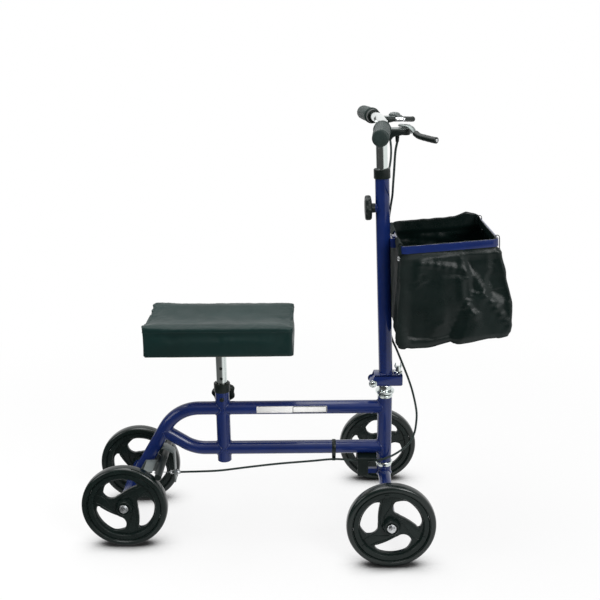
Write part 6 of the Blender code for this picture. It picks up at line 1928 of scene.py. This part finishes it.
def add_lamp(name, place, target, side, power):
    lamp = bpy.data.lights.new(name, "AREA")
    lamp.shape = "SQUARE"
    lamp.size = side
    lamp.energy = power
    holder = bpy.data.objects.new(name, lamp)
    holder.location = place
    holder.rotation_euler = (Vector(target) - Vector(place)).to_track_quat("-Z", "Y").to_euler()
    bpy.context.scene.collection.objects.link(holder)


PITCH, YAW, ROLL = 0.2906, -0.0089, -0.0129


class WALKER_OT_stage(bpy.types.Operator):
    """Pale floor, soft lamps and the camera at the photograph's view"""
    bl_idname = "walker.stage"
    bl_label = "Studio"

    def execute(self, context):
        size = sizes("stage")
        scene = context.scene
        bm = bmesh.new()
        bmesh.ops.create_grid(bm, x_segments=1, y_segments=1, size=size.floor_size / 2)
        mesh = bpy.data.meshes.new("studio_floor")
        bm.to_mesh(mesh)
        bm.free()
        mesh.materials.append(matte_floor(sizes("colours")))
        floor = bpy.data.objects.new("studio_floor", mesh)
        scene.collection.objects.link(floor)
        light_world()
        middle = (0.0, 0.0, 0.45)
        add_lamp("softbox_front", (1.5, -2.3, 1.9), middle, 1.3, 46.0)
        add_lamp("softbox_top", (-0.3, 0.2, 2.5), middle, 2.0, 46.0)
        add_lamp("softbox_left", (-2.3, -1.2, 1.3), middle, 1.2, 14.0)
        camera = bpy.data.cameras.new("photo_camera")
        camera.sensor_width = 36.0
        camera.lens = camera.sensor_width * size.focal_pixels / 600.0
        forward = Vector((math.sin(YAW) * math.cos(PITCH), math.cos(YAW) * math.cos(PITCH), -math.sin(PITCH)))
        right = Vector((math.cos(YAW), -math.sin(YAW), 0.0))
        up = right.cross(forward)
        across = math.cos(ROLL) * right + math.sin(ROLL) * up
        above = -math.sin(ROLL) * right + math.cos(ROLL) * up
        matrix = Matrix((across, above, -forward)).transposed().to_4x4()
        matrix.translation = (size.camera_forward, -size.camera_distance, size.camera_height)
        holder = bpy.data.objects.new("photo_camera", camera)
        holder.matrix_world = matrix
        scene.collection.objects.link(holder)
        scene.camera = holder
        scene.view_settings.view_transform = "Standard"
        return {"FINISHED"}


class WALKER_OT_packed_finish(bpy.types.Operator):
    """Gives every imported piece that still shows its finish"""
    bl_idname = "walker.packed_finish"
    bl_label = "Finish of the packed pieces"

    def execute(self, context):
        slots = {part["node"]: part["material_slot"] for part in frame["record"]["subparts"]}
        for node, obj in frame["nodes"].items():
            if not obj.hide_render:
                obj.data.materials.clear()
                obj.data.materials.append(finish_of(slots[node]))
        return {"FINISHED"}


OPERATORS = (WALKER_OT_stage, WALKER_OT_cables, WALKER_OT_frame_tubes, WALKER_OT_fork, WALKER_OT_headset,
             WALKER_OT_column, WALKER_OT_wing_bolt, WALKER_OT_knobs, WALKER_OT_wheels, WALKER_OT_axle_bolts,
             WALKER_OT_seat_post, WALKER_OT_cushion, WALKER_OT_handlebar, WALKER_OT_grips, WALKER_OT_levers,
             WALKER_OT_rear_brake, WALKER_OT_basket_frame, WALKER_OT_bag, WALKER_OT_label_and_ties,
             WALKER_OT_packed_finish)


class WALKER_PT_panel(bpy.types.Panel):
    """Lists the walker's pieces in the sidebar"""
    bl_idname = "WALKER_PT_panel"
    bl_label = "Knee Walker"
    bl_space_type = "VIEW_3D"
    bl_region_type = "UI"
    bl_category = "Knee Walker"

    def draw(self, context):
        column = self.layout.column(align=True)
        for operator in OPERATORS:
            column.operator(operator.bl_idname)


def register():
    for group in GROUPS.values():
        bpy.utils.register_class(group)
    for name, group in GROUPS.items():
        setattr(bpy.types.Scene, name, PointerProperty(type=group))
    for operator in OPERATORS:
        bpy.utils.register_class(operator)
    bpy.utils.register_class(WALKER_PT_panel)


def unregister():
    bpy.utils.unregister_class(WALKER_PT_panel)
    for operator in reversed(OPERATORS):
        bpy.utils.unregister_class(operator)
    for name, group in GROUPS.items():
        delattr(bpy.types.Scene, name)
        bpy.utils.unregister_class(group)


def main():
    register()
    for operator in OPERATORS:
        module, name = operator.bl_idname.split(".")
        getattr(getattr(bpy.ops, module), name)()


if __name__ == "__main__":
    main()
